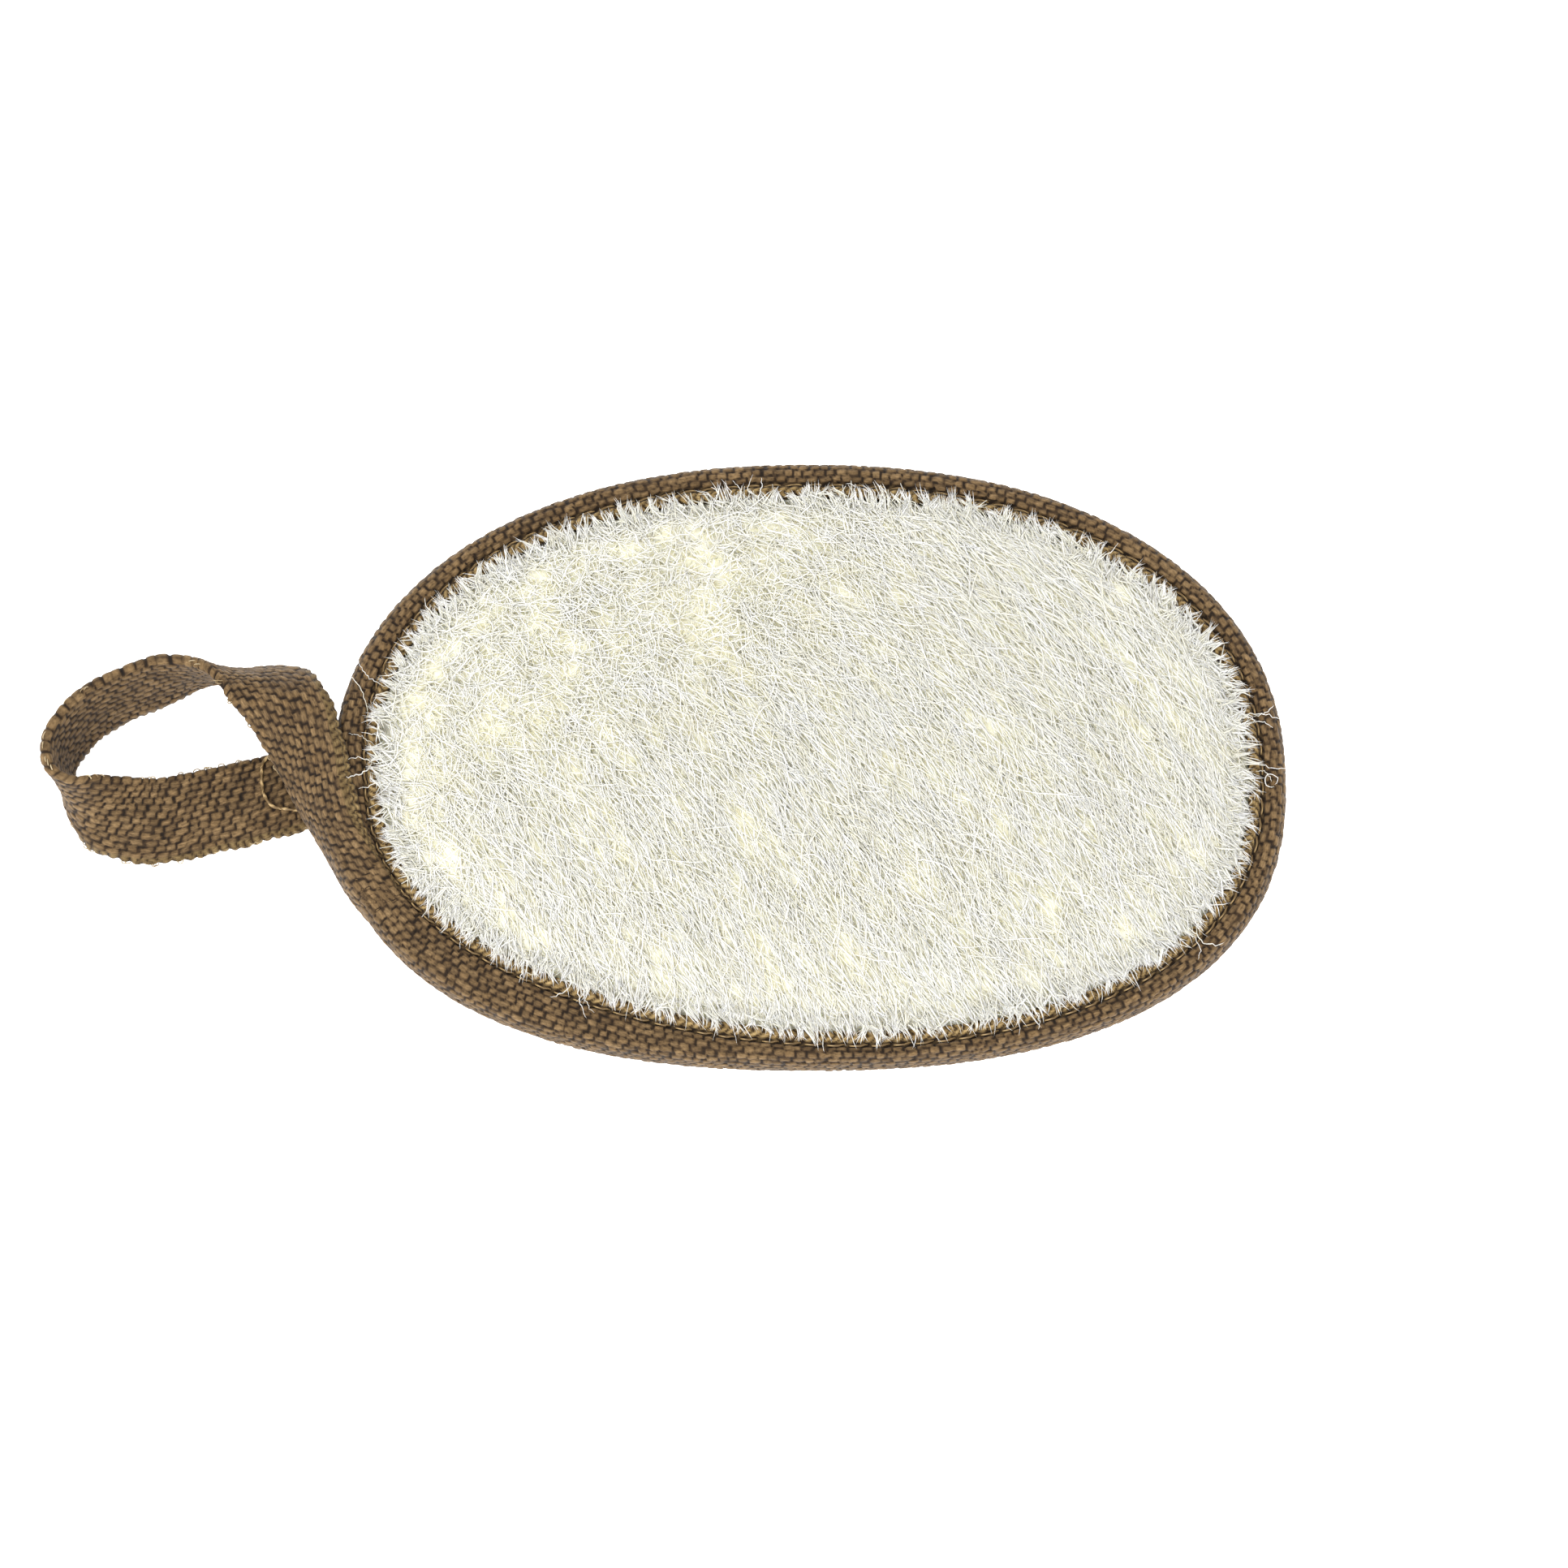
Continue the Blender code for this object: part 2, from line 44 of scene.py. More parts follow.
# Camera
# It looks down on the pad lying on its table, tipped 15 degrees towards the near side,
# at the distance where the oval's printed length and width both come out true.
CAMERA_HEIGHT = math.radians(75)
LENS_MM = 100
SENSOR_MM = 36
PHOTO_PIXELS = 1932
PIXEL_MM = 0.1108
PAD_MIDDLE_PX = (996.5, 940.5)
RIM_PLANE = 8.5

photo_width = PHOTO_PIXELS * PIXEL_MM
right_of_pad = (PHOTO_PIXELS / 2 - PAD_MIDDLE_PX[0]) * PIXEL_MM
above_pad = (PAD_MIDDLE_PX[1] - PHOTO_PIXELS / 2) * PIXEL_MM / math.sin(CAMERA_HEIGHT)
aim = Vector((right_of_pad, above_pad, RIM_PLANE)) * MM
toward_camera = Vector((0, -math.cos(CAMERA_HEIGHT), math.sin(CAMERA_HEIGHT)))

lens = bpy.data.cameras.new("camera")
lens.lens = LENS_MM
lens.sensor_width = SENSOR_MM
camera = bpy.data.objects.new("camera", lens)
camera.location = aim + toward_camera * photo_width * LENS_MM / SENSOR_MM * MM
camera.rotation_euler = toward_camera.to_track_quat("Z", "Y").to_euler()
bpy.context.scene.collection.objects.link(camera)
bpy.context.scene.camera = camera
bpy.context.scene.view_settings.view_transform = "Standard"


# Studio light
# A white tent all round gives the even light, and one large soft light stands in front
# and a little to the left, so the lower left of the pad is the brightest.
TENT_STRENGTH = 1.46
KEY_DIRECTION = (-0.34, -0.5, 0.8)
KEY_DISTANCE_M = 0.9
KEY_SIZE_M = 0.7
KEY_WATTS = 5.6

tent = bpy.data.worlds.new("white_tent")
tent.use_nodes = True
tent.node_tree.nodes["Background"].inputs["Color"].default_value = (1, 1, 1, 1)
tent.node_tree.nodes["Background"].inputs["Strength"].default_value = TENT_STRENGTH
bpy.context.scene.world = tent

key = bpy.data.lights.new("soft_key", "AREA")
key.shape = "DISK"
key.size = KEY_SIZE_M
key.energy = KEY_WATTS
key_light = bpy.data.objects.new("soft_key", key)
key_light.location = Vector(KEY_DIRECTION).normalized() * KEY_DISTANCE_M
key_light.rotation_euler = Vector(KEY_DIRECTION).to_track_quat("Z", "Y").to_euler()
bpy.context.scene.collection.objects.link(key_light)


# Table
# A matt white laminate board, lit until it shows as plain white. It carries the pad and
# isn't part of it.
TABLE_HALF_M = 1.5
TABLE_TOP = -0.05


def linear(colour):
    """An sRGB hex colour as linear red, green, blue and a full alpha."""
    parts = [int(colour[i:i + 2], 16) / 255 for i in (0, 2, 4)]
    return [p / 12.92 if p <= 0.04045 else ((p + 0.055) / 1.055) ** 2.4 for p in parts] + [1]


def node(tree, kind, links=(), values=(), **settings):
    """Adds a node with its settings, its linked sockets and its plain socket values."""
    made = tree.nodes.new(kind)
    for name, value in settings.items():
        setattr(made, name, value)
    for socket, source in dict(links).items():
        tree.links.new(source, made.inputs[socket])
    for socket, value in dict(values).items():
        made.inputs[socket].default_value = value
    return made


def ramp(tree, source, *stops):
    """A colour ramp over a linked socket, through stops of a position and an sRGB colour."""
    made = node(tree, "ShaderNodeValToRGB", {"Fac": source})
    elements = made.color_ramp.elements
    for element, (position, colour) in zip(elements[:], (stops[0], stops[-1])):
        element.position = position
        element.color = linear(colour)
    for position, colour in stops[1:-1]:
        elements.new(position).color = linear(colour)
    return made.outputs["Color"]


def new_finish(name, values):
    """A new material, its node tree and its Principled shader with its plain values set."""
    made = bpy.data.materials.new(name)
    made.use_nodes = True
    shader = made.node_tree.nodes["Principled BSDF"]
    for socket, value in values.items():
        shader.inputs[socket].default_value = value
    return made, made.node_tree, shader


def add_piece(name, points, quads, tris, finish):
    """A smooth piece from points in millimetres, its four-cornered and its three-cornered faces."""
    mesh = bpy.data.meshes.new(name)
    quads = np.asarray(quads, dtype=np.int32).reshape(-1, 4)
    tris = np.asarray(tris, dtype=np.int32).reshape(-1, 3)
    corners = np.concatenate([quads.ravel(), tris.ravel()])
    starts = np.concatenate([np.arange(len(quads)) * 4, len(quads) * 4 + np.arange(len(tris)) * 3])
    mesh.vertices.add(len(points))
    mesh.vertices.foreach_set("co", (np.asarray(points) * MM).astype(np.float32).ravel())
    mesh.loops.add(len(corners))
    mesh.loops.foreach_set("vertex_index", corners)
    mesh.polygons.add(len(starts))
    mesh.polygons.foreach_set("loop_start", starts.astype(np.int32))
    mesh.update(calc_edges=True)
    mesh.validate()
    mesh.shade_smooth()
    mesh.materials.append(finish)
    piece = bpy.data.objects.new(name, mesh)
    bpy.context.scene.collection.objects.link(piece)
    return piece


# Matt white laminate: a smooth, even board with a faint cloudiness and no gleam at all.
matt_laminate, tree, shader = new_finish("matt_laminate", {
    "Roughness": 0.95, "Specular IOR Level": 0.0,
    "Emission Color": (1, 1, 1, 1), "Emission Strength": 0.8})
cloud = node(tree, "ShaderNodeTexNoise", values={"Scale": 8.0, "Detail": 2.0})
shade = ramp(tree, cloud.outputs["Fac"], (0.0, "FBFBFB"), (1.0, "FEFEFE"))
tree.links.new(shade, shader.inputs["Base Color"])
reach = TABLE_HALF_M / MM
table = add_piece("table", [(-reach, -reach, TABLE_TOP), (reach, -reach, TABLE_TOP),
                            (reach, reach, TABLE_TOP), (-reach, reach, TABLE_TOP)],
                  [(0, 1, 2, 3)], [], matt_laminate)


# Loofah mat
# The inner fibre of a ripe luffa gourd, dried, opened flat and pressed: one springy mat,
# crowned on its front and flattened on its back, with its edge pinched inside the tape.
PAD_LENGTH = 130
PAD_WIDTH = 85
OVAL_POWER = 2.3
END_DROOP = 2.4
BAND = 5.3
BAND_WIDER = 2.9
BAND_WIDER_AT = math.radians(213)
BAND_NARROWER = 1.0
BAND_NARROWER_AT = math.radians(285)
BAND_SPREAD = math.radians(34)
FOOT_CLEAR = 0.8
EDGE_HALF = 2.2
FRONT_CROWN = 9.5
BACK_CROWN = 8.3
DOME_POWER = 2.6
DOME_ROUND = 0.55
FLAT_SHARE = 0.27
PRESS = 1.0
PRESS_BLEND = 0.09
NAP = math.radians(-57)
TUFT_HEIGHT = 0.32
TUFT_WIDTH = 11
TUFT_LENGTH = 26
TUFT_WANDER = 1.3
TUFT_SLANT = 0.35
TUFT_BREAK = 0.6
TUFT_FADE_POWER = 6
MAT_SUNK = 0.36
MAT_RELIEF = 0.16
MAT_LOWEST = 0.15
STREAKS = 26
STREAK_LENGTHS = (0.9, 2.6)
STREAK_SPREAD = 0.35
EDGE_FADE_POWER = 10
PINCHED_HALF = 1.9
PINCHED_IN = 1.9
RIM_DRAWN = 5761
RIM_POINTS = 1440
MAT_AROUND = 260
FRONT_RINGS = 64
BACK_RINGS = 40


def rim_outline(count):
    """Even points round the outer edge of the rim, and their outward normals."""
    turn = np.linspace(0, math.tau, RIM_DRAWN)
    cos, sin = np.cos(turn), np.sin(turn)
    x = PAD_LENGTH / 2 * np.sign(cos) * np.abs(cos) ** (2 / OVAL_POWER)
    y = PAD_WIDTH / 2 * np.sign(sin) * np.abs(sin) ** (2 / OVAL_POWER)
    y -= END_DROOP * (2 * x / PAD_LENGTH) ** 2
    run = np.concatenate([[0], np.cumsum(np.hypot(np.diff(x), np.diff(y)))])
    even = np.linspace(0, run[-1], count, endpoint=False)
    xy = np.stack([np.interp(even, run, x), np.interp(even, run, y)], axis=1)
    tangent = np.roll(xy, -1, axis=0) - np.roll(xy, 1, axis=0)
    normal = np.stack([tangent[:, 1], -tangent[:, 0]], axis=1)
    return xy, normal / np.linalg.norm(normal, axis=1)[:, None], run[-1]


def bump_at(angle, middle):
    """A smooth rise to 1 round one direction from the pad's middle."""
    away = (angle - middle + math.pi) % math.tau - math.pi
    return np.exp(-(away / BAND_SPREAD) ** 2)


def band_width(xy):
    """How far in the tape reaches: further where the loop leaves it, less below."""
    angle = np.arctan2(xy[:, 1], xy[:, 0])
    wider = BAND_WIDER * bump_at(angle, BAND_WIDER_AT)
    return BAND + wider - BAND_NARROWER * bump_at(angle, BAND_NARROWER_AT)


def smooth_step(value):
    """0 below 0, 1 above 1, with an easy curve between."""
    t = np.clip(value, 0, 1)
    return t * t * (3 - 2 * t)


rim_xy, rim_normal, rim_length = rim_outline(RIM_POINTS)
foot = rim_xy - rim_normal * (band_width(rim_xy) + FOOT_CLEAR)[:, None]
foot_angle = np.arctan2(foot[:, 1], foot[:, 0])
foot_order = np.argsort(foot_angle)
foot_reach = np.hypot(foot[:, 0], foot[:, 1])


def share_at(x, y):
    """0 in the middle of the pad and 1 where the domes meet the tape."""
    reach_there = np.interp(np.arctan2(y, x), foot_angle[foot_order], foot_reach[foot_order],
                            period=math.tau)
    return np.hypot(x, y) / reach_there


def dome(share, flat):
    """Height of a dome, from 1 over its flat middle to 0 at its foot."""
    t = np.clip((share - flat) / (1 - flat), 0, 1)
    return (1 - t ** DOME_POWER) ** DOME_ROUND


def tufts(x, y):
    """Low tufts that the fibre mats into: long waves along the nap, broken along it."""
    along = x * math.cos(NAP) + y * math.sin(NAP)
    across = y * math.cos(NAP) - x * math.sin(NAP)
    wander = TUFT_WANDER * np.sin(math.tau * along / TUFT_LENGTH)
    waves = np.sin(math.tau * across / TUFT_WIDTH + wander)
    slanted = along + TUFT_SLANT * across
    breaks = np.sin(math.tau * slanted / (TUFT_BREAK * TUFT_LENGTH))
    return 0.6 * waves + 0.4 * breaks


def mat_height(x, y, side):
    """Height of the front face, side 1, or of the back face, side -1."""
    share = share_at(x, y)
    fade = 1 - np.clip(share, 0, 1) ** TUFT_FADE_POWER
    if side > 0:
        rise = EDGE_HALF + (FRONT_CROWN - EDGE_HALF) * dome(share, 0)
        return RIM_PLANE + rise + TUFT_HEIGHT * fade * tufts(x, y)
    pressed = smooth_step((FLAT_SHARE + PRESS_BLEND - share) / PRESS_BLEND)
    drop = EDGE_HALF + (BACK_CROWN - PRESS - EDGE_HALF) * dome(share, FLAT_SHARE)
    relief = TUFT_HEIGHT * fade * (1 - pressed) * (1 + tufts(x, y)) / 2
    return RIM_PLANE - drop - PRESS * pressed + relief


def streaks(x, y, lie):
    """Streaky relief round 0: many fine waves, all running close to one lie."""
    rng = np.random.default_rng(5)
    total = np.zeros_like(x)
    for _ in range(STREAKS):
        across = lie + math.pi / 2 + rng.normal(0, STREAK_SPREAD)
        length = rng.uniform(*STREAK_LENGTHS)
        phase = rng.uniform(0, math.tau)
        total += np.sin(math.tau * (x * math.cos(across) + y * math.sin(across)) / length + phase)
    return total / math.sqrt(STREAKS)


# Dried loofah mat: bare plant fibre, matt and a little waxy, pale cream with streaks of
# straw. Light soaks into it, so the gaps between its fibres stay bright.
loofah_mat, tree, shader = new_finish("dried_loofah_mat", {
    "Roughness": 0.9, "IOR": 1.5, "Specular IOR Level": 0.15, "Subsurface Weight": 0.85,
    "Subsurface Radius": (1.0, 0.95, 0.7), "Subsurface Scale": 0.002})
place = node(tree, "ShaderNodeTexCoord").outputs["Object"]
lie_of_mat = node(tree, "ShaderNodeMapping", {"Vector": place}, {
    "Rotation": (0, 0, -NAP), "Scale": (0.25, 1.0, 1.0)})
strands = node(tree, "ShaderNodeTexNoise", {"Vector": lie_of_mat.outputs["Vector"]}, {
    "Scale": 1800.0, "Detail": 3.0, "Roughness": 0.6})
tint = ramp(tree, strands.outputs["Fac"], (0.32, "EEEACF"), (0.66, "F9F6E2"))
dent = node(tree, "ShaderNodeBump", {"Height": strands.outputs["Fac"]}, {
    "Strength": 0.6, "Distance": 0.0002})
tree.links.new(tint, shader.inputs["Base Color"])
tree.links.new(dent.outputs["Normal"], shader.inputs["Normal"])

pick = np.arange(MAT_AROUND) * len(foot) // MAT_AROUND
mat_foot = foot[pick]
rings = []
for side, count in ((1, FRONT_RINGS), (-1, BACK_RINGS)):
    face = []
    for share in np.linspace(1, 0, count, endpoint=False):
        x, y = (mat_foot * share).T
        inside_edge = 1 - share ** EDGE_FADE_POWER
        fine = MAT_RELIEF * streaks(x, y, NAP * side) * inside_edge
        if side < 0:
            fine *= smooth_step((share - FLAT_SHARE) / PRESS_BLEND)
        height = mat_height(x, y, side) + side * (fine - MAT_SUNK * inside_edge)
        face.append(np.stack([x, y, np.maximum(height, MAT_LOWEST)], axis=1))
    rings.append(face)
pinched = []
for height in (PINCHED_HALF, -PINCHED_HALF):
    inner = rim_xy[pick] - rim_normal[pick] * PINCHED_IN
    pinched.append(np.column_stack([inner, np.full(MAT_AROUND, RIM_PLANE + height)]))
stack = rings[0][::-1] + pinched + rings[1]
points = np.concatenate(stack)
quads = []
for r in range(len(stack) - 1):
    here = r * MAT_AROUND + np.arange(MAT_AROUND)
    there = r * MAT_AROUND + (np.arange(MAT_AROUND) + 1) % MAT_AROUND
    quads.append(np.stack([here, here + MAT_AROUND, there + MAT_AROUND, there], axis=1))
tris = []
for side, first in ((1, 0), (-1, (len(stack) - 1) * MAT_AROUND)):
    top = len(points)
    middle = (0, 0, float(mat_height(np.zeros(1), np.zeros(1), side)[0]) - side * MAT_SUNK)
    points = np.vstack([points, [middle[:2] + (max(middle[2], MAT_LOWEST),)]])
    here = first + np.arange(MAT_AROUND)
    there = first + (np.arange(MAT_AROUND) + 1) % MAT_AROUND
    pair = [here, there] if side > 0 else [there, here]
    tris.append(np.stack([np.full(MAT_AROUND, top)] + pair, axis=1))
mat = add_piece("loofah_mat", points, np.concatenate(quads), np.concatenate(tris), loofah_mat)
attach(mat, "root")
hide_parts("loofah_pad")


# Loofah nap
# Single fibres of the gourd, 0.12 to 0.26 mm thick, brushed up when the mat was pressed.
# They lie combed one way over most of the face and are tousled at its upper left.
COMBED_JITTER = math.radians(19)
TOUSLED_JITTER = math.radians(58)
TAPE_CLEAR = 4.05
LEAVES_MAT_AT = 0.968
LEAVES_MAT_OVER = 0.035
LEAST_CURL = 0.02
TABLE_CLEAR = 0.02
SWAY = 0.12
ROOT_LEVEL = -0.3
ROOT_SHARE = 0.3
# Along a fibre, from 0 to 1: how much of its lift it has, and how much of its thickness.
FIBRE_RISE = ((0, 0.3, 0.62, 1.0), (0, 0.75, 1.0, 1.0))
FIBRE_TAPER = ((0, 0.3, 0.7, 1.0), (0.8, 1.0, 0.85, 0.35))
FRONT_LENGTHS = (4.4, 9.4)
TOUSLED_SHORTER = 0.35
COMBED_CURL = 0.65
TOUSLED_CURL = 1.7
# Each front layer: its name, its number of fibres, its least and most lift, its radius.
FRONT_LAYERS = (
    ("nap_front_under", 6800, 0.08, 0.3, 0.105),
    ("nap_front_top", 8000, 0.2, 0.5, 0.082),
)
LOOSE_HAIRS = 480
LOOSE_LENGTHS = (6.0, 13.0)
LOOSE_JITTER = math.radians(26)
BACK_FIBRES = 3000
BACK_LENGTHS = (5.0, 9.5)


def set_data(piece, name, values):
    """Stores three values for each point of a piece, for its material to read."""
    layer = piece.data.attributes.new(name, "FLOAT_VECTOR", "POINT")
    layer.data.foreach_set("vector", np.asarray(values, dtype=np.float32).ravel())


def stored(tree, name):
    """The three values that set_data stored, as the outputs of one node."""
    facts = node(tree, "ShaderNodeAttribute", attribute_name=name)
    return node(tree, "ShaderNodeSeparateXYZ", {"Vector": facts.outputs["Vector"]}).outputs


def multiplied(tree, first, second, factor):
    """One colour multiplied by another, as far as the factor says."""
    return node(tree, "ShaderNodeMix", {"A": first, "B": second}, {"Factor": factor},
                data_type="RGBA", blend_type="MULTIPLY").outputs["Result"]


def add_fibres(name, middle, lie, length, radius, curl, lift, tip, side, seed, finish,
               steps=(0, 0.3, 0.62, 0.88, 1.0), sway=0.0):
    """Loose closed fibres, each a thin three-sided tapering tube that follows the mat.

    Each lies round its middle at the heading lie and turns by its curl, in radians. Lift
    and tip say how far its body and its end stand off the mat, in millimetres.
    """
    rng = np.random.default_rng(seed)
    count = len(middle)
    t = np.array(steps)[None, :]
    bend = np.where(np.abs(curl) < LEAST_CURL, LEAST_CURL, curl)[:, None]
    heading = lie[:, None] + bend * (t - 0.5)
    scale = length[:, None] / bend
    x = middle[:, 0:1] + scale * (np.sin(heading) - np.sin(lie[:, None]))
    y = middle[:, 1:2] - scale * (np.cos(heading) - np.cos(lie[:, None]))
    if sway:
        shift = rng.normal(0, sway, x.shape) * np.sin(math.pi * t)
        x = x - shift * np.sin(heading)
        y = y + shift * np.cos(heading)
    profile = np.interp(t, *FIBRE_RISE) * lift[:, None]
    sunk_root = ROOT_LEVEL * (1 - np.clip(t / ROOT_SHARE, 0, 1))
    profile = profile + sunk_root + (tip - lift)[:, None] * t ** 3
    ground = mat_height(x, y, side)
    over_tape = RIM_PLANE + side * TAPE_CLEAR
    outside = smooth_step((share_at(x, y) - LEAVES_MAT_AT) / LEAVES_MAT_OVER)
    level = np.maximum(ground, over_tape) if side > 0 else np.minimum(ground, over_tape)
    z = ground + (level - ground) * outside + side * profile
    floor = radius.max() + TABLE_CLEAR
    z = np.maximum(z, floor)
    path = np.stack([x, y, z], axis=2)
    ahead = np.gradient(path, axis=1)
    ahead /= np.linalg.norm(ahead, axis=2)[:, :, None]
    across = np.cross(ahead, np.array([0.0, 0.0, 1.0]))
    across /= np.maximum(np.linalg.norm(across, axis=2), 1e-6)[:, :, None]
    up = np.cross(across, ahead)
    taper = np.interp(t, *FIBRE_TAPER) * radius[:, None]
    roll = rng.uniform(0, math.tau, (count, 1))
    rings_of_fibre = []
    for corner in range(3):
        turn = roll + math.tau * corner / 3
        offset = up * np.cos(turn)[:, :, None] + across * np.sin(turn)[:, :, None]
        rings_of_fibre.append(path + offset * taper[:, :, None])
    stations = len(steps) - 1
    grid = np.stack(rings_of_fibre, axis=2)[:, :stations]
    width = stations * 3 + 1
    points = np.concatenate([grid.reshape(count, stations * 3, 3), path[:, -1:]], axis=1)
    quads, tris = [], [(0, 2, 1)]
    for s in range(stations - 1):
        for c in range(3):
            d = (c + 1) % 3
            quads.append((s * 3 + c, s * 3 + d, s * 3 + 3 + d, s * 3 + 3 + c))
    last = (stations - 1) * 3
    for c in range(3):
        tris.append((last + c, last + (c + 1) % 3, width - 1))
    first = (np.arange(count) * width)[:, None, None]
    piece = add_piece(name, points.reshape(-1, 3), first + np.array(quads)[None],
                      first + np.array(tris)[None], finish)
    tone = np.repeat(rng.random(count), width)
    run = np.concatenate([np.repeat(np.array(steps[:-1]), 3), [1.0]])
    height = np.repeat(np.clip(lift, 0, 2) / 2, width)
    set_data(piece, "fibre", np.stack([tone, np.tile(run, count), height], axis=1))
    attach(piece, "root")
    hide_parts("loofah_pad")


# Loofah fibre: the same dried fibre drawn out single. Its worn tips are nearly white, its
# roots a little creamier, and some fibres are straw. It keeps a soft waxy gleam.
loofah_fibre, tree, shader = new_finish("dried_loofah_fibre", {
    "Roughness": 0.7, "IOR": 1.5, "Specular IOR Level": 0.2, "Subsurface Weight": 0.65,
    "Subsurface Radius": (1.0, 0.97, 0.8), "Subsurface Scale": 0.0012})
fibre = stored(tree, "fibre")
bleach = ramp(tree, fibre["Y"], (0.05, "FAF8E6"), (0.8, "FFFFFC"))
straw = ramp(tree, fibre["X"], (0.0, "F3EFDC"), (0.55, "FFFFFF"))
tree.links.new(multiplied(tree, bleach, straw, 1.0), shader.inputs["Base Color"])


def nap_lie(x, y):
    """Heading of the combed nap: it steepens to the right and fans out at both ends."""
    fan = math.radians(9) * np.sin(x / 31 + 0.4) + math.radians(8) * np.sin(y / 19 - x / 47)
    return NAP + math.radians(-6) * x / 65 + fan


def tousle(x, y):
    """0 where the nap lies combed and 1 where it is curled up, at the upper left."""
    spread = smooth_step((y - 0.42 * x - 3) / 26) * smooth_step((22 - x) / 34)
    left_end = smooth_step((-40 - x) / 16)
    patch = 0.5 + 0.5 * np.sin(x / 5.1 + 1.7 * np.sin(y / 7.3)) * np.sin(y / 4.3 + 0.6)
    return np.clip(np.maximum(spread, 0.8 * left_end) * (0.6 + 0.5 * patch), 0, 1)


def scatter(count, rng, most=0.985):
    """Random points spread evenly over the face of the mat."""
    found = np.zeros((0, 2))
    while len(found) < count:
        x = rng.uniform(-PAD_LENGTH / 2, PAD_LENGTH / 2, count)
        y = rng.uniform(-PAD_WIDTH / 2 - END_DROOP, PAD_WIDTH / 2, count)
        inside = share_at(x, y) < most
        found = np.vstack([found, np.stack([x, y], axis=1)[inside]])
    return found[:count]


for layer, (name, count, low, high, thick) in enumerate(FRONT_LAYERS):
    rng = np.random.default_rng(21 + layer)
    spots = scatter(count, rng, 0.995)
    x, y = spots.T
    loose = tousle(x, y)
    jitter = COMBED_JITTER + (TOUSLED_JITTER - COMBED_JITTER) * loose
    lie = nap_lie(x, y) + rng.normal(0, 1, count) * jitter
    length = rng.uniform(*FRONT_LENGTHS, count) * (1 - TOUSLED_SHORTER * loose)
    curl = rng.normal(0, COMBED_CURL, count) + rng.normal(0, TOUSLED_CURL, count) * loose
    lift = rng.uniform(low, high, count) + 0.5 * loose * rng.random(count)
    tip = lift + rng.normal(0, 0.25, count) + 0.4 * loose * rng.random(count)
    radius = rng.uniform(0.75, 1.25, count) * thick
    add_fibres(name, spots, lie, length, radius, curl, lift, np.maximum(tip, 0.05), 1,
               31 + layer, loofah_fibre, sway=SWAY)

rng = np.random.default_rng(23)
spots = scatter(LOOSE_HAIRS, rng, 0.93)
x, y = spots.T
loose = tousle(x, y)
jitter = LOOSE_JITTER + TOUSLED_JITTER * loose
lie = nap_lie(x, y) + rng.normal(0, 1, LOOSE_HAIRS) * jitter
lift = rng.uniform(0.45, 0.75, LOOSE_HAIRS)
add_fibres("nap_loose", spots, lie, rng.uniform(*LOOSE_LENGTHS, LOOSE_HAIRS),
           rng.uniform(0.06, 0.09, LOOSE_HAIRS), rng.normal(0, 1.0 + loose), lift,
           lift + rng.uniform(-0.2, 0.3, LOOSE_HAIRS), 1, 38, loofah_fibre,
           steps=tuple(np.linspace(0, 1, 9)), sway=0.14)

rng = np.random.default_rng(41)
spots = scatter(BACK_FIBRES, rng)
x, y = spots.T
lie = -nap_lie(x, y) + rng.normal(0, 1, BACK_FIBRES) * COMBED_JITTER * 2.2
add_fibres("nap_back", spots, lie, rng.uniform(*BACK_LENGTHS, BACK_FIBRES),
           rng.uniform(0.09, 0.13, BACK_FIBRES), rng.normal(0, 0.6, BACK_FIBRES),
           rng.uniform(0.05, 0.5, BACK_FIBRES), rng.uniform(0.05, 0.6, BACK_FIBRES), -1, 42,
           loofah_fibre, sway=SWAY)

# Fringe
# Where the mat dives under the tape its cut fibres stand out over the selvage, short and
# ragged all round, and a few long ones have worked loose and lie across the tape.
FRINGE_TUFTS = 1250
FIBRES_A_TUFT = 4
TUFT_HALF = 0.45
FRINGE_FROM = -1.7
FRINGE_TO = 1.3
FRINGE_JITTER = math.radians(30)
FRINGE_LENGTHS = (2.2, 5.0)
NAP_PULL = 0.6
BACK_FRINGE = 820
BACK_FRINGE_LENGTHS = (2.0, 4.0)
LONG_STRAYS = 46
STRAY_CURL = 1.4
STRAY_POINTS = 15
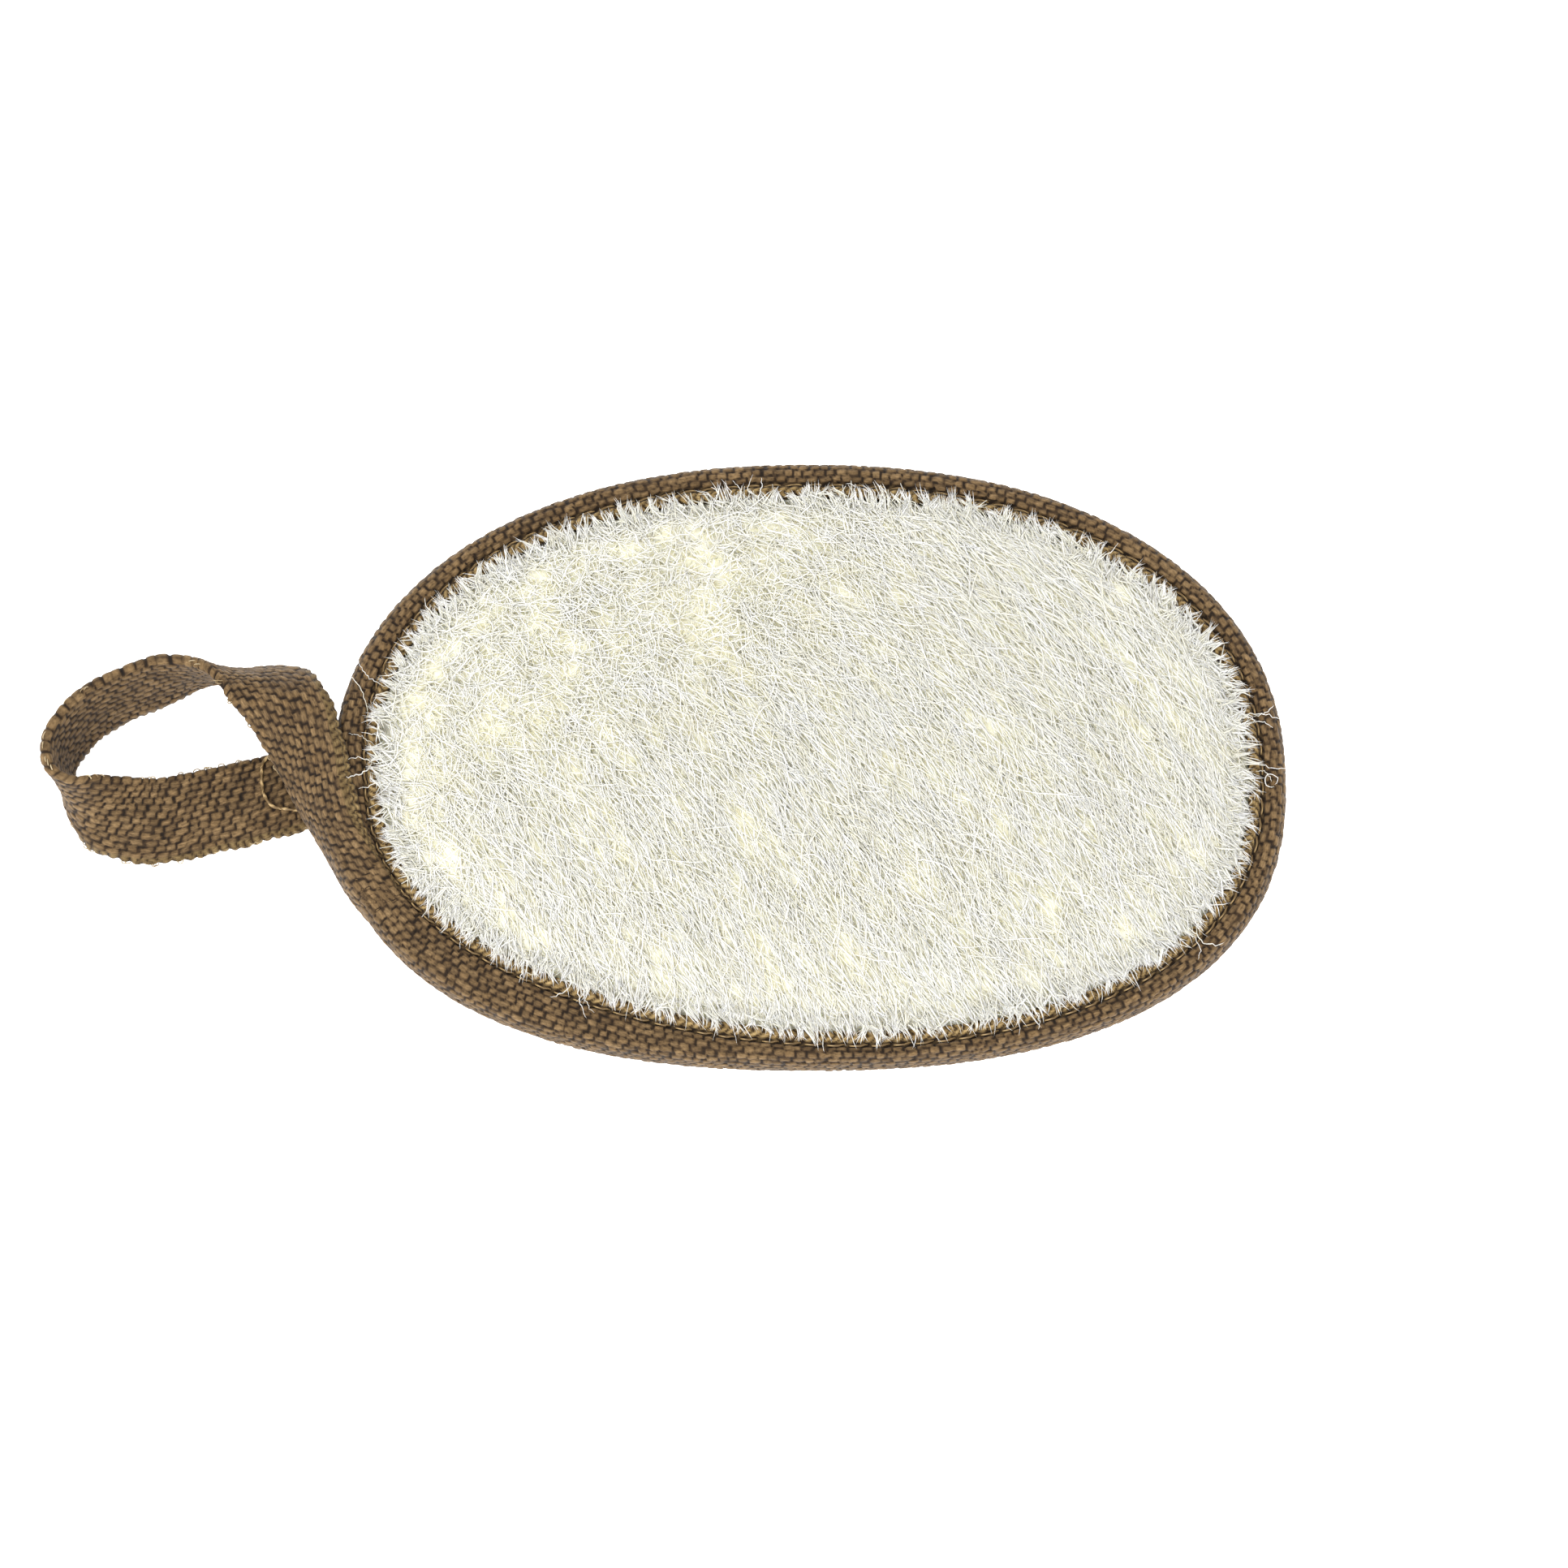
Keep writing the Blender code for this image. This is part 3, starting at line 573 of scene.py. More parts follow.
# Each stray: where it leaves the mat, its heading in degrees, its length and its curl.
STRAYS = (
    (57.6, 5.9, -4, 7.0, -0.5), (60.6, 5.2, 24, 3.2, 0.8), (60.6, 5.2, -28, 3.0, -0.9),
    (59.4, -1.0, -16, 6.0, 0.6), (60.9, -1.6, -42, 3.0, -1.2), (59.8, -4.2, 30, 5.5, -4.6),
    (-39.8, -28.0, -48, 4.6, 0.9), (-38.4, -29.2, -95, 2.6, -0.6), (-31.6, -30.4, -78, 6.6, 0.5),
    (-31.2, -31.6, -140, 4.2, -1.1), (-30.9, -32.2, -62, 4.2, 0.4), (-59.3, 6.4, 122, 7.2, 0.7),
    (-58.2, 9.4, 138, 5.0, -0.6), (-58.8, -0.6, 176, 4.2, 0.8), (-58.6, -1.8, 206, 5.2, -1.3),
    (-58.9, 1.8, 160, 3.8, 0.5), (-9.6, 34.8, 112, 5.2, 0.7), (-8.6, 34.6, 86, 5.6, -0.6),
    (-7.4, 34.9, 74, 4.8, 0.5), (-6.4, 34.6, 58, 4.4, -0.9), (-9.0, 35.0, 98, 4.6, 1.3),
    (5.0, 34.6, 60, 5.6, 3.6), (6.4, 34.4, 20, 5.2, 2.2), (50.6, -24.4, -38, 5.8, 1.8),
    (51.4, -24.0, -70, 4.8, -1.2), (25.0, -34.6, -70, 4.4, 0.9), (-20.4, 32.6, 118, 4.4, -0.8),
    (38.6, 27.0, 30, 5.0, 0.7), (44.2, 22.6, 12, 4.8, -0.8), (2.0, -37.2, -96, 4.0, 0.6),
)

rng = np.random.default_rng(51)
tuft = rng.integers(0, len(foot), FRINGE_TUFTS)
step_out = rng.uniform(FRINGE_FROM, FRINGE_TO, FRINGE_TUFTS)
root = foot[tuft] + rim_normal[tuft] * step_out[:, None]
nap_way = nap_lie(root[:, 0], root[:, 1])
nap_xy = np.stack([np.cos(nap_way), np.sin(nap_way)], axis=1)
nap_xy *= np.sign(np.sum(nap_xy * rim_normal[tuft], axis=1))[:, None]
way = rim_normal[tuft] + NAP_PULL * nap_xy
tuft_lie = np.arctan2(way[:, 1], way[:, 0]) + rng.normal(0, FRINGE_JITTER, FRINGE_TUFTS)
tuft_length = rng.uniform(*FRINGE_LENGTHS, FRINGE_TUFTS)
tuft_lift = rng.uniform(0.05, 0.5, FRINGE_TUFTS)
tuft_curl = rng.normal(0, 0.8, FRINGE_TUFTS)
of_tuft = np.repeat(np.arange(FRINGE_TUFTS), FIBRES_A_TUFT)
fibres = len(of_tuft)
aside = rng.uniform(-TUFT_HALF, TUFT_HALF, fibres)
along_rim = np.stack([-rim_normal[:, 1], rim_normal[:, 0]], axis=1)
spots = root[of_tuft] + along_rim[tuft[of_tuft]] * aside[:, None]
length = tuft_length[of_tuft] * rng.uniform(0.75, 1.15, fibres)
lie = tuft_lie[of_tuft] - 1.5 * aside / length + rng.normal(0, 0.12, fibres)
lift = tuft_lift[of_tuft] + rng.uniform(0, 0.22, fibres)
add_fibres("fringe", spots, lie, length, rng.uniform(0.065, 0.11, fibres),
           tuft_curl[of_tuft] + rng.normal(0, 0.45, fibres), lift,
           lift + rng.uniform(-0.15, 0.3, fibres), 1, 52, loofah_fibre,
           steps=(0, 0.35, 0.72, 1.0))

spot = rng.integers(0, len(foot), BACK_FRINGE)
spots = foot[spot] + rim_normal[spot] * rng.uniform(-1.5, 0.7, BACK_FRINGE)[:, None]
lie = np.arctan2(rim_normal[spot, 1], rim_normal[spot, 0]) + rng.normal(0, 0.6, BACK_FRINGE)
add_fibres("fringe_back", spots, lie, rng.uniform(*BACK_FRINGE_LENGTHS, BACK_FRINGE),
           rng.uniform(0.08, 0.12, BACK_FRINGE), rng.normal(0, 0.9, BACK_FRINGE),
           rng.uniform(0.1, 0.5, BACK_FRINGE), rng.uniform(0.1, 0.5, BACK_FRINGE), -1, 53,
           loofah_fibre)

spot = rng.integers(0, len(foot), LONG_STRAYS)
out = np.degrees(np.arctan2(rim_normal[spot, 1], rim_normal[spot, 0]))
drawn = np.column_stack([foot[spot] - rim_normal[spot] * 1.0,
                         out + rng.normal(0, 42, LONG_STRAYS),
                         rng.uniform(3.0, 5.2, LONG_STRAYS), rng.normal(0, 1.5, LONG_STRAYS)])
strays = np.vstack([np.array(STRAYS), drawn])
heading = np.radians(strays[:, 2])
length, curl = strays[:, 3], strays[:, 4]
half = np.stack([np.cos(heading), np.sin(heading)], axis=1) * length[:, None] / 2
lift = rng.uniform(0.25, 0.9, len(strays))
add_fibres("stray_fibres", strays[:, :2] + half, heading, length,
           rng.uniform(0.055, 0.085, len(strays)), curl * STRAY_CURL, lift,
           lift + rng.uniform(-0.2, 0.6, len(strays)), 1, 54, loofah_fibre,
           steps=tuple(np.linspace(0, 1, STRAY_POINTS)), sway=SWAY)


# Binding tape
# Warp-faced jute-brown webbing, folded over the pad's edge and sewn through. Its floats
# lie in columns along the tape, half a float out of step from column to column.
COLUMN = 0.93
FLOAT_STEP_WANTED = 1.5
SAMPLES_A_FLOAT = 6
SAMPLES_A_COLUMN = 4
FLOAT_HEIGHT = 0.3
FLOAT_REACH = 0.45
FLOAT_HALF = 0.56
BRAID_HEIGHT = 0.95
GROOVE_HEIGHT = 0.45
SELVAGE_MIDDLE = 1.5
SELVAGE_HALF = 0.85
BRAID_STEP = 1.2
GROOVE_FROM = 2.35
BAND_FROM = 3.6
FRONT_COLUMNS = 9
BACK_SAMPLES = 36
BACK_BRAID = 1.2
# Further across than the folded tape reaches anywhere.
TAPE_REACH = 16.5
LINING_STEP = 8
LINING_IN = 1.3
LINING_HALF = 2.5

float_count = round(rim_length / FLOAT_STEP_WANTED)
FLOAT_STEP = rim_length / float_count
BRAID_COUNT = round(rim_length / BRAID_STEP)
rim_stations = float_count * SAMPLES_A_FLOAT


def draw(i, j, seed):
    """A repeatable draw from 0 to 1 for each pair of whole numbers."""
    mixed = np.sin(i * 12.9898 + j * 78.233 + seed * 37.719) * 43758.5453
    return mixed - np.floor(mixed)


def woven(s, p):
    """Relief of the tape, its float's own draw and how much of it is selvage.

    s runs along the tape and p across it, from the edge of its selvage, in millimetres.
    """
    # The band: floats in columns, each pulled a little out of line and of its own length.
    around = math.tau * s / rim_length
    turns = s / FLOAT_STEP + 0.13 * np.sin(23 * around + 1.3 * p) + 0.1 * np.sin(61 * around - p)
    sway = 0.14 * np.sin(31 * around + 0.5 * p) + 0.08 * np.sin(83 * around + 1.1 * p)
    column = np.floor((p - BAND_FROM + sway) / COLUMN)
    across = (p - BAND_FROM + sway) / COLUMN - column - 0.5
    shift = 0.5 * (column % 2) + 0.3 * (draw(column, 0, 5) - 0.5)
    pick = np.floor(turns + shift)
    along = turns + shift - pick - 0.5
    own = draw(column, pick % float_count, 1)
    along = along + 0.16 * (draw(column, pick % float_count, 4) - 0.5)
    across = across + 0.22 * along + 0.12 * (draw(column, pick % float_count, 6) - 0.5)
    reach_along = FLOAT_REACH + 0.05 * own
    body = np.clip(1 - np.abs(along / reach_along) ** 4, 0, 1) ** 0.5
    ridge = np.sqrt(np.clip(1 - (across / FLOAT_HALF) ** 2, 0, 1))
    tight = 0.9 + 0.1 * np.sin(5 * around + 0.9) * np.sin(0.5 * p)
    relief = (1 - tight * (1 - body)) * ridge * (0.74 + 0.34 * draw(column, pick % float_count, 2))

    # The selvage: knots that slant away to both sides of a sunken middle line.
    middle = (p - SELVAGE_MIDDLE) / SELVAGE_HALF
    slant = turns * BRAID_COUNT / float_count + 0.8 * np.abs(middle) + 0.08 * np.sin(47 * around)
    knot = np.floor(slant)
    along = slant - knot - 0.5
    braid = np.clip(1 - (along / 0.4) ** 2, 0, 1) ** 0.6
    braid *= np.sqrt(np.clip(1 - (middle / 1.12) ** 2, 0, 1))
    braid *= 1 - 0.5 * np.exp(-(middle / 0.2) ** 2)
    knot_own = draw(knot % float_count, np.sign(middle), 3)

    # The groove between them: only the crossing yarns show in it.
    bits = turns + 0.5 * (p - GROOVE_FROM)
    sunk = GROOVE_HEIGHT * np.clip(1 - ((bits - np.floor(bits) - 0.5) / 0.3) ** 2, 0, 1)
    edge = p < GROOVE_FROM
    line = (p >= GROOVE_FROM) & (p < BAND_FROM)
    relief = np.where(edge, BRAID_HEIGHT * braid, np.where(line, sunk, relief))
    own = np.where(edge, knot_own, own)
    return relief, own, np.where(edge, 1.0, np.where(line, 0.25, 0.0))


def section_points(w, p):
    """The outer section of a rim w wide: inward reach and height at distance p from its edge.

    The first number that it returns is the whole distance across the folded tape.
    """
    half = [(w, 2.5), (w - 0.1, 3.3), (w - 0.7, 3.6), (w - 1.4, 3.35), (w - 1.8, 2.75),
            (w - 2.2, 2.75), (w - 2.6, 3.35), ((w - 1.6) / 2, 3.7), (1.0, 3.35),
            (0.35, 2.1)]
    corners = np.array(half + [(0.15, 0)] + [(u, -v) for u, v in reversed(half)])
    run = np.concatenate([[0], np.cumsum(np.linalg.norm(np.diff(corners, axis=0), axis=1))])
    fine = np.linspace(0, run[-1], 241)
    curve = np.stack([np.interp(fine, run, corners[:, 0]), np.interp(fine, run, corners[:, 1])], 1)
    for _ in range(10):
        curve[1:-1] = (curve[:-2] + 2 * curve[1:-1] + curve[2:]) / 4
    return run[-1], np.stack([np.interp(p, fine, curve[:, 0]), np.interp(p, fine, curve[:, 1])], 1)


def normals_of(grid, wrap_rows, wrap_columns):
    """Unit normals of a grid of points, from the differences to its neighbours."""
    along = np.roll(grid, -1, axis=0) - np.roll(grid, 1, axis=0)
    if not wrap_rows:
        along[0] = grid[1] - grid[0]
        along[-1] = grid[-1] - grid[-2]
    across = np.roll(grid, -1, axis=1) - np.roll(grid, 1, axis=1)
    if not wrap_columns:
        across[:, 0] = grid[:, 1] - grid[:, 0]
        across[:, -1] = grid[:, -1] - grid[:, -2]
    normal = np.cross(across, along)
    return normal / np.maximum(np.linalg.norm(normal, axis=2), 1e-9)[:, :, None]


def grid_faces(rows, columns, wrap_rows, wrap_columns):
    """Four-cornered faces between the points of a grid."""
    r = np.arange(rows if wrap_rows else rows - 1)
    c = np.arange(columns if wrap_columns else columns - 1)
    r, c = np.meshgrid(r, c, indexing="ij")
    down, right = (r + 1) % rows, (c + 1) % columns
    corners = [r * columns + c, r * columns + right, down * columns + right, down * columns + c]
    return np.stack(corners, axis=2).reshape(-1, 4)


# Jute webbing, spun and warp-faced: rough matt yarn. Its colour carries a painted highlight along
# the floats' crowns and painted shade, nearly black, in the gaps between them and in the groove,
# both read from the weave's relief. The selvage is a yellower tan, with the same painted shade
# and painted highlight over its knots.
webbing, tree, shader = new_finish("brown_jute_webbing", {
    "Roughness": 0.7, "IOR": 1.5, "Specular IOR Level": 0.15, "Sheen Weight": 0.06,
    "Sheen Roughness": 0.5})
weave = stored(tree, "weave")
yarn_place = node(tree, "ShaderNodeAttribute", attribute_name="yarn").outputs["Vector"]
twist = node(tree, "ShaderNodeMapping", {"Vector": yarn_place}, {
    "Rotation": (0, 0, math.radians(14)), "Scale": (0.9, 3.0, 1.0)})
plies = node(tree, "ShaderNodeTexNoise", {"Vector": twist.outputs["Vector"]}, {
    "Scale": 1.5, "Detail": 4.0, "Roughness": 0.65})
# Painted shade where the weave lies low and painted highlight where it stands high, by its relief.
painted_crown_highlight_and_gap_shade = ramp(tree, weave["X"], (0.05, "1F150A"), (0.45, "43321F"), (0.95, "8E7451"))
selvage_tan_with_painted_shading = ramp(tree, weave["X"], (0.05, "3C2A13"), (0.8, "C2A672"))
body = node(tree, "ShaderNodeMix", {"Factor": weave["Z"], "A": painted_crown_highlight_and_gap_shade, "B": selvage_tan_with_painted_shading},
            data_type="RGBA")
lot = ramp(tree, weave["Y"], (0.0, "E2DDD4"), (1.0, "FFFFFF"))
dyed = multiplied(tree, body.outputs["Result"], lot, 0.9)
fuzz = ramp(tree, plies.outputs["Fac"], (0.3, "6E6558"), (0.7, "FFFFFF"))
dent = node(tree, "ShaderNodeBump", {"Height": plies.outputs["Fac"]}, {
    "Strength": 0.7, "Distance": 0.00012})
tree.links.new(multiplied(tree, dyed, fuzz, 0.85), shader.inputs["Base Color"])
tree.links.new(dent.outputs["Normal"], shader.inputs["Normal"])

sample = COLUMN / SAMPLES_A_COLUMN
front_to = BAND_FROM + FRONT_COLUMNS * COLUMN
band_xy, band_normal, _ = rim_outline(rim_stations)
band_widths = band_width(band_xy)
band_s = np.arange(rim_stations) * rim_length / rim_stations
widths = np.linspace(band_widths.min(), band_widths.max(), 60)
lengths = np.array([section_points(w, np.zeros(1))[0] for w in widths])
full_across = np.interp(band_widths, widths, lengths)
tape_p = np.arange(0, TAPE_REACH, sample)


def on_rim(station_p):
    """Points of the smooth folded tape, at each station's own distances across it."""
    grid = np.zeros(station_p.shape + (3,))
    for i in range(rim_stations):
        _, curve = section_points(band_widths[i], station_p[i])
        grid[i, :, :2] = band_xy[i] - band_normal[i] * curve[:, :1]
        grid[i, :, 2] = RIM_PLANE + curve[:, 1]
    return grid


smooth_rim = on_rim(np.tile(tape_p, (rim_stations, 1)))


def add_tape(name, p, outer, lining):
    """One closed length of webbing: its woven outer face and the flat lining inside it."""
    s = np.tile(band_s[:, None], (1, p.shape[1]))
    relief, own, edge = woven(s, p)
    grid = outer + normals_of(outer, True, False) * (relief * FLOAT_HEIGHT)[:, :, None]
    whole = np.concatenate([grid, lining], axis=1)
    rows, columns = whole.shape[:2]
    piece = add_piece(name, whole.reshape(-1, 3), grid_faces(rows, columns, True, True), [],
                      webbing)
    zero = np.zeros(lining.shape[:2])
    facts_of = [np.concatenate([values, zero + back], axis=1)
                for values, back in ((relief, 0.3), (own, 0.5), (edge, 0))]
    set_data(piece, "weave", np.stack(facts_of, axis=2))
    yarn = [np.concatenate([s, s[:, :lining.shape[1]]], axis=1),
            np.concatenate([p, zero - 1], axis=1), np.zeros((rows, columns))]
    set_data(piece, "yarn", np.stack(yarn, axis=2))
    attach(piece, "root")
    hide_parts("rim_binding")


def lining_of(outer):
    """The inner face of the folded tape behind its outer one, in the reverse order."""
    back = outer[:, ::-LINING_STEP].copy()
    inward = np.einsum("ijk,ik->ij", band_xy[:, None] - back[:, :, :2], band_normal)
    short = np.maximum(LINING_IN - inward, 0)
    back[:, :, :2] -= band_normal[:, None] * short[:, :, None]
    back[:, :, 2] = RIM_PLANE + np.clip(back[:, :, 2] - RIM_PLANE, -LINING_HALF, LINING_HALF)
    return back


front_p = np.tile(np.arange(0, front_to + sample / 2, sample), (rim_stations, 1))
front_face = smooth_rim[:, :front_p.shape[1]]
add_tape("binding_front", front_p, front_face, lining_of(front_face))
t = np.linspace(0, 1, BACK_SAMPLES)[None, :]
back_from = front_p[0, -1]
back_p = back_from + (full_across[:, None] - back_from) * t
back_face = on_rim(back_p)
from_edge = full_across[:, None] - back_p
mirrored_p = np.where(from_edge < GROOVE_FROM + BACK_BRAID, from_edge, back_p)
add_tape("binding_back", mirrored_p, back_face, lining_of(back_face))


# Hanging loop
# The tape runs on past the lower left of the rim, folded double with both selvages along
# one edge. It turns on edge round its eye, comes back and is sewn flat under the rim.
LOOP_HALF = 5.75
LOOP_THICK = 0.62
LOOP_STATIONS = 570
LOOP_RELIEF = 0.26
LOOP_EDGE_TAN = 0.9
LOOP_LIP = 1.1
LIP_START = 0.55
SCALLOP = 0.28
RIM_GRIP = 3.05
GRIP_GROWS_OVER = 12
# Where the tape crosses the rim: its folded edge, its open edge, how much of it still
# follows the rim, and how far it bows round it.
LOOP_CROSSING = (
    (-57.6, -26.0, 4.4, -52.0, -23.4, 12.3, 1.0, 0.0),
    (-65.3, -14.3, 3.4, -60.0, -13.0, 12.7, 0.55, 2.0),
    (-68.1, -8.3, 4.2, -61.8, -6.9, 12.9, 0.2, 2.0),
    (-70.7, -3.3, 5.8, -62.9, -1.8, 13.2, 0.0, 1.6),
    (-74.0, 2.1, 8.6, -64.6, 5.0, 13.4, 0.0, 0.8),
    (-77.0, 6.1, 11.0, -66.6, 10.1, 12.0, 0.0, 0.5),
    (-78.8, 8.6, 12.3, -70.3, 13.1, 8.0, 0.0, 0.3),
    (-80.5, 10.6, 12.8, -75.0, 14.5, 3.6, 0.0, 0.0),
    (-82.3, 12.4, 12.8, -79.3, 14.3, 1.9, 0.0, 0.0),
)
# The rest of the loop: its middle, and how far its open edge turns from pointing up.
LOOP_ROUTE = (
    (-84.3, 13.3, 7.2, 180),
    (-88.0, 12.6, 7.1, 193),
    (-93.3, 10.7, 6.8, 196),
    (-98.0, 8.2, 6.7, 196),
    (-101.0, 5.3, 6.6, 195),
    (-102.8, 1.9, 6.6, 192),
    (-102.7, -1.2, 6.6, 186),
    (-101.0, -4.0, 6.5, 168),
    (-97.7, -5.9, 5.4, 136),
    (-93.2, -6.8, 4.3, 114),
    (-89.0, -7.0, 3.9, 104),
    (-84.4, -6.0, 3.7, 98),
    (-79.6, -4.9, 3.5, 94),
    (-72.7, -3.0, 3.35, 90),
    (-66.1, -1.1, 3.3, 90),
    (-60.0, 0.5, 3.3, 90),
)


def smooth_route(stations, steps):
    """Evenly spread points of a smooth curve through the stations, and their distances."""
    marks = np.array(stations, dtype=float)
    run = np.concatenate([[0], np.cumsum(np.linalg.norm(np.diff(marks[:, :3], axis=0), axis=1))])
    slope = np.gradient(marks, run, axis=0)
    even = np.linspace(0, run[-1], steps)
    i = np.minimum(len(run) - 2, np.searchsorted(run, even, side="right") - 1)
    span = (run[i + 1] - run[i])[:, None]
    t = (even - run[i])[:, None] / span
    curve = (2 * t**3 - 3 * t**2 + 1) * marks[i] + (t**3 - 2 * t**2 + t) * span * slope[i]
    curve += (3 * t**2 - 2 * t**3) * marks[i + 1] + (t**3 - t**2) * span * slope[i + 1]
    return curve, even


crossing = np.array(LOOP_CROSSING)
turning = np.array(LOOP_ROUTE, dtype=float)
UPRIGHT = np.array([0.0, 0.0, 1.0])
middles = np.vstack([(crossing[:, :3] + crossing[:, 3:6]) / 2, turning[:, :3]])
ahead = np.gradient(middles, axis=0)[len(crossing):]
ahead /= np.linalg.norm(ahead, axis=1)[:, None]
outward = np.cross(ahead, UPRIGHT)
outward /= np.linalg.norm(outward, axis=1)[:, None]
lean = np.radians(turning[:, 3])[:, None]
half_across = (outward * np.sin(lean) + UPRIGHT * np.cos(lean)) * LOOP_HALF
edges = np.hstack([turning[:, :3] - half_across, turning[:, :3] + half_across])
stations = np.hstack([middles, np.vstack([crossing[:, :6], edges])])
follow = np.zeros((len(stations), 2))
follow[:len(crossing)] = crossing[:, 6:]
route, route_run = smooth_route(np.hstack([stations, follow]), LOOP_STATIONS)
folded_edge, open_edge, hold, bow = route[:, 3:6], route[:, 6:9], route[:, 9], route[:, 10]
centre = (folded_edge + open_edge) / 2
ahead = np.gradient(centre, axis=0)
ahead /= np.linalg.norm(ahead, axis=1)[:, None]
across = open_edge - folded_edge
across /= np.linalg.norm(across, axis=1)[:, None]
through = np.cross(ahead, across)
through /= np.linalg.norm(through, axis=1)[:, None]

# The loop's closed section: the lip of its open edge, one woven face, the folded edge,
# the other face and the lip's other half, each point as across and through the tape.
face_a = np.arange(LOOP_HALF - LIP_START, -LOOP_HALF + 0.7, -sample)
lip = [(4.95, -0.04), (5.35, -0.16), (5.7, -0.32), (5.75, -0.55)]
fold = [(-5.35, -0.55), (-5.62, -0.33), (-5.75, 0.0), (-5.62, 0.33), (-5.35, 0.55)]
flare = LOOP_THICK + 0.1 * np.exp(-((face_a - 4.9) / 0.8) ** 2)
section = lip + list(zip(face_a, -flare)) + fold
section += list(zip(face_a[::-1], flare[::-1])) + [(a, -b) for a, b in reversed(lip)]
section = np.array(section)
section_a, section_b = section.T

nearest = np.array([np.argmin(np.sum((band_xy - c[:2]) ** 2, axis=1)) for c in centre])
grip_p = RIM_GRIP + LOOP_HALF - section_a
column_at = grip_p / sample
low = np.minimum(column_at.astype(int), len(tape_p) - 2)
part = (column_at - low)[None, :, None]
rim_up = normals_of(smooth_rim, True, False)
gripped = smooth_rim[nearest][:, low] * (1 - part) + smooth_rim[nearest][:, low + 1] * part
gripped_up = rim_up[nearest][:, low]
grown = smooth_step(route_run / GRIP_GROWS_OVER)[:, None]
off_rim = -0.45 + grown * (0.5 + (LOOP_THICK - section_b[None, :]) * 0.6)
gripped = gripped + gripped_up * off_rim[:, :, None]
free = centre[:, None] + across[:, None] * section_a[None, :, None]
bowed = np.clip(bow, 0, None)[:, None] * (1 - (section_a / LOOP_HALF) ** 2)[None, :]
free = free + through[:, None] * (section_b[None, :] - bowed)[:, :, None]
hold = smooth_step(hold)[:, None, None]
ribbon = free * (1 - hold) + gripped * hold
start_s = band_s[nearest[0]]
loop_s = np.tile((start_s - route_run)[:, None], (1, len(section)))
from_open_edge = np.tile((LOOP_HALF - section_a + LIP_START)[None, :], (LOOP_STATIONS, 1))
on_lip = SELVAGE_MIDDLE + (from_open_edge / LOOP_LIP - 0.5) * 2 * SELVAGE_HALF
from_selvage = np.where(from_open_edge < LOOP_LIP, on_lip, from_open_edge + BAND_FROM - LOOP_LIP)
relief, own, edge = woven(loop_s, from_selvage)
edge = edge * LOOP_EDGE_TAN
up = normals_of(ribbon, False, True)
outside = np.sum(up * (ribbon - ribbon.mean(axis=1, keepdims=True)), axis=2).mean()
up = up * np.sign(outside)
ribbon = ribbon + up * (relief * LOOP_RELIEF)[:, :, None]
turns = loop_s / FLOAT_STEP
scallop = np.abs(np.sin(math.pi * turns)) - 0.6 + 0.5 * np.sin(math.tau * turns / 4.3)
on_edge = np.clip((section_a - LOOP_HALF + LOOP_LIP) / LOOP_LIP, 0, 1)[None, :]
ribbon = ribbon + across[:, None] * (scallop * on_edge * SCALLOP)[:, :, None]
rows, columns = ribbon.shape[:2]
quads = grid_faces(rows, columns, False, True)
ends = np.array([(0, j + 1, j) for j in range(1, columns - 1)])
last = (rows - 1) * columns
far_end = np.array([(last, last + j, last + j + 1) for j in range(1, columns - 1)])
loop = add_piece("hanging_loop_webbing", ribbon.reshape(-1, 3), quads,
                 np.concatenate([ends, far_end]), webbing)
set_data(loop, "weave", np.stack([relief, own, edge], axis=2))
set_data(loop, "yarn", np.stack([loop_s, from_selvage, np.zeros_like(loop_s)], axis=2))
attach(loop, "root")
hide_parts("hanging_loop")


# Seam stitches
# Spun polyester-cored thread in the tape's own brown, sewn through tape and pad in a
# lockstitch, so each stitch shows as a short plump bar sunk in the groove.
STITCH_STEP = 3.0
STITCH_SHOWS = 0.8
STITCH_RADIUS = 0.15
STITCH_SIDES = 6
STITCH_SLANT = 0.16
STITCH_BED = 0.04
STITCH_HUMP = 0.2


def add_tubes(name, paths, radii, sides, finish, replaced, lobes=0.0, twist=0.0):
    """Closed round tubes along paths of equal length, smooth or with plied yarns."""
    ahead = np.gradient(paths, axis=1)
    ahead /= np.linalg.norm(ahead, axis=2)[:, :, None]
    side = np.cross(ahead, UPRIGHT)
    side /= np.maximum(np.linalg.norm(side, axis=2), 1e-6)[:, :, None]
    up = np.cross(side, ahead)
    turn = math.tau * np.arange(sides) / sides
    roll = turn[None, :] + twist * np.arange(paths.shape[1])[:, None]
    wide = 1 + lobes * np.cos(2 * turn)[None, :] * np.ones_like(roll)
    offset = up[:, :, None] * (np.cos(roll) * wide)[None, :, :, None]
    offset = offset + side[:, :, None] * (np.sin(roll) * wide)[None, :, :, None]
    grid = paths[:, :, None] + offset * radii[None, :, None, None]
    count, rows = paths.shape[:2]
    faces = grid_faces(rows, sides, False, True)[:, ::-1]
    caps = [(0, j, j + 1) for j in range(1, sides - 1)]
    last = (rows - 1) * sides
    caps += [(last, last + j + 1, last + j) for j in range(1, sides - 1)]
    first = (np.arange(count) * rows * sides)[:, None, None]
    piece = add_piece(name, grid.reshape(-1, 3), first + faces[None], first + np.array(caps)[None],
                      finish)
    run = np.tile(np.repeat(np.linspace(0, 1, rows), sides), count)
    own = np.repeat(draw(np.arange(count), 0, 9), rows * sides)
    set_data(piece, "ply", np.stack([own, run * rows, np.tile(turn, count * rows)], axis=1))
    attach(piece, "root")
    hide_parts(replaced)


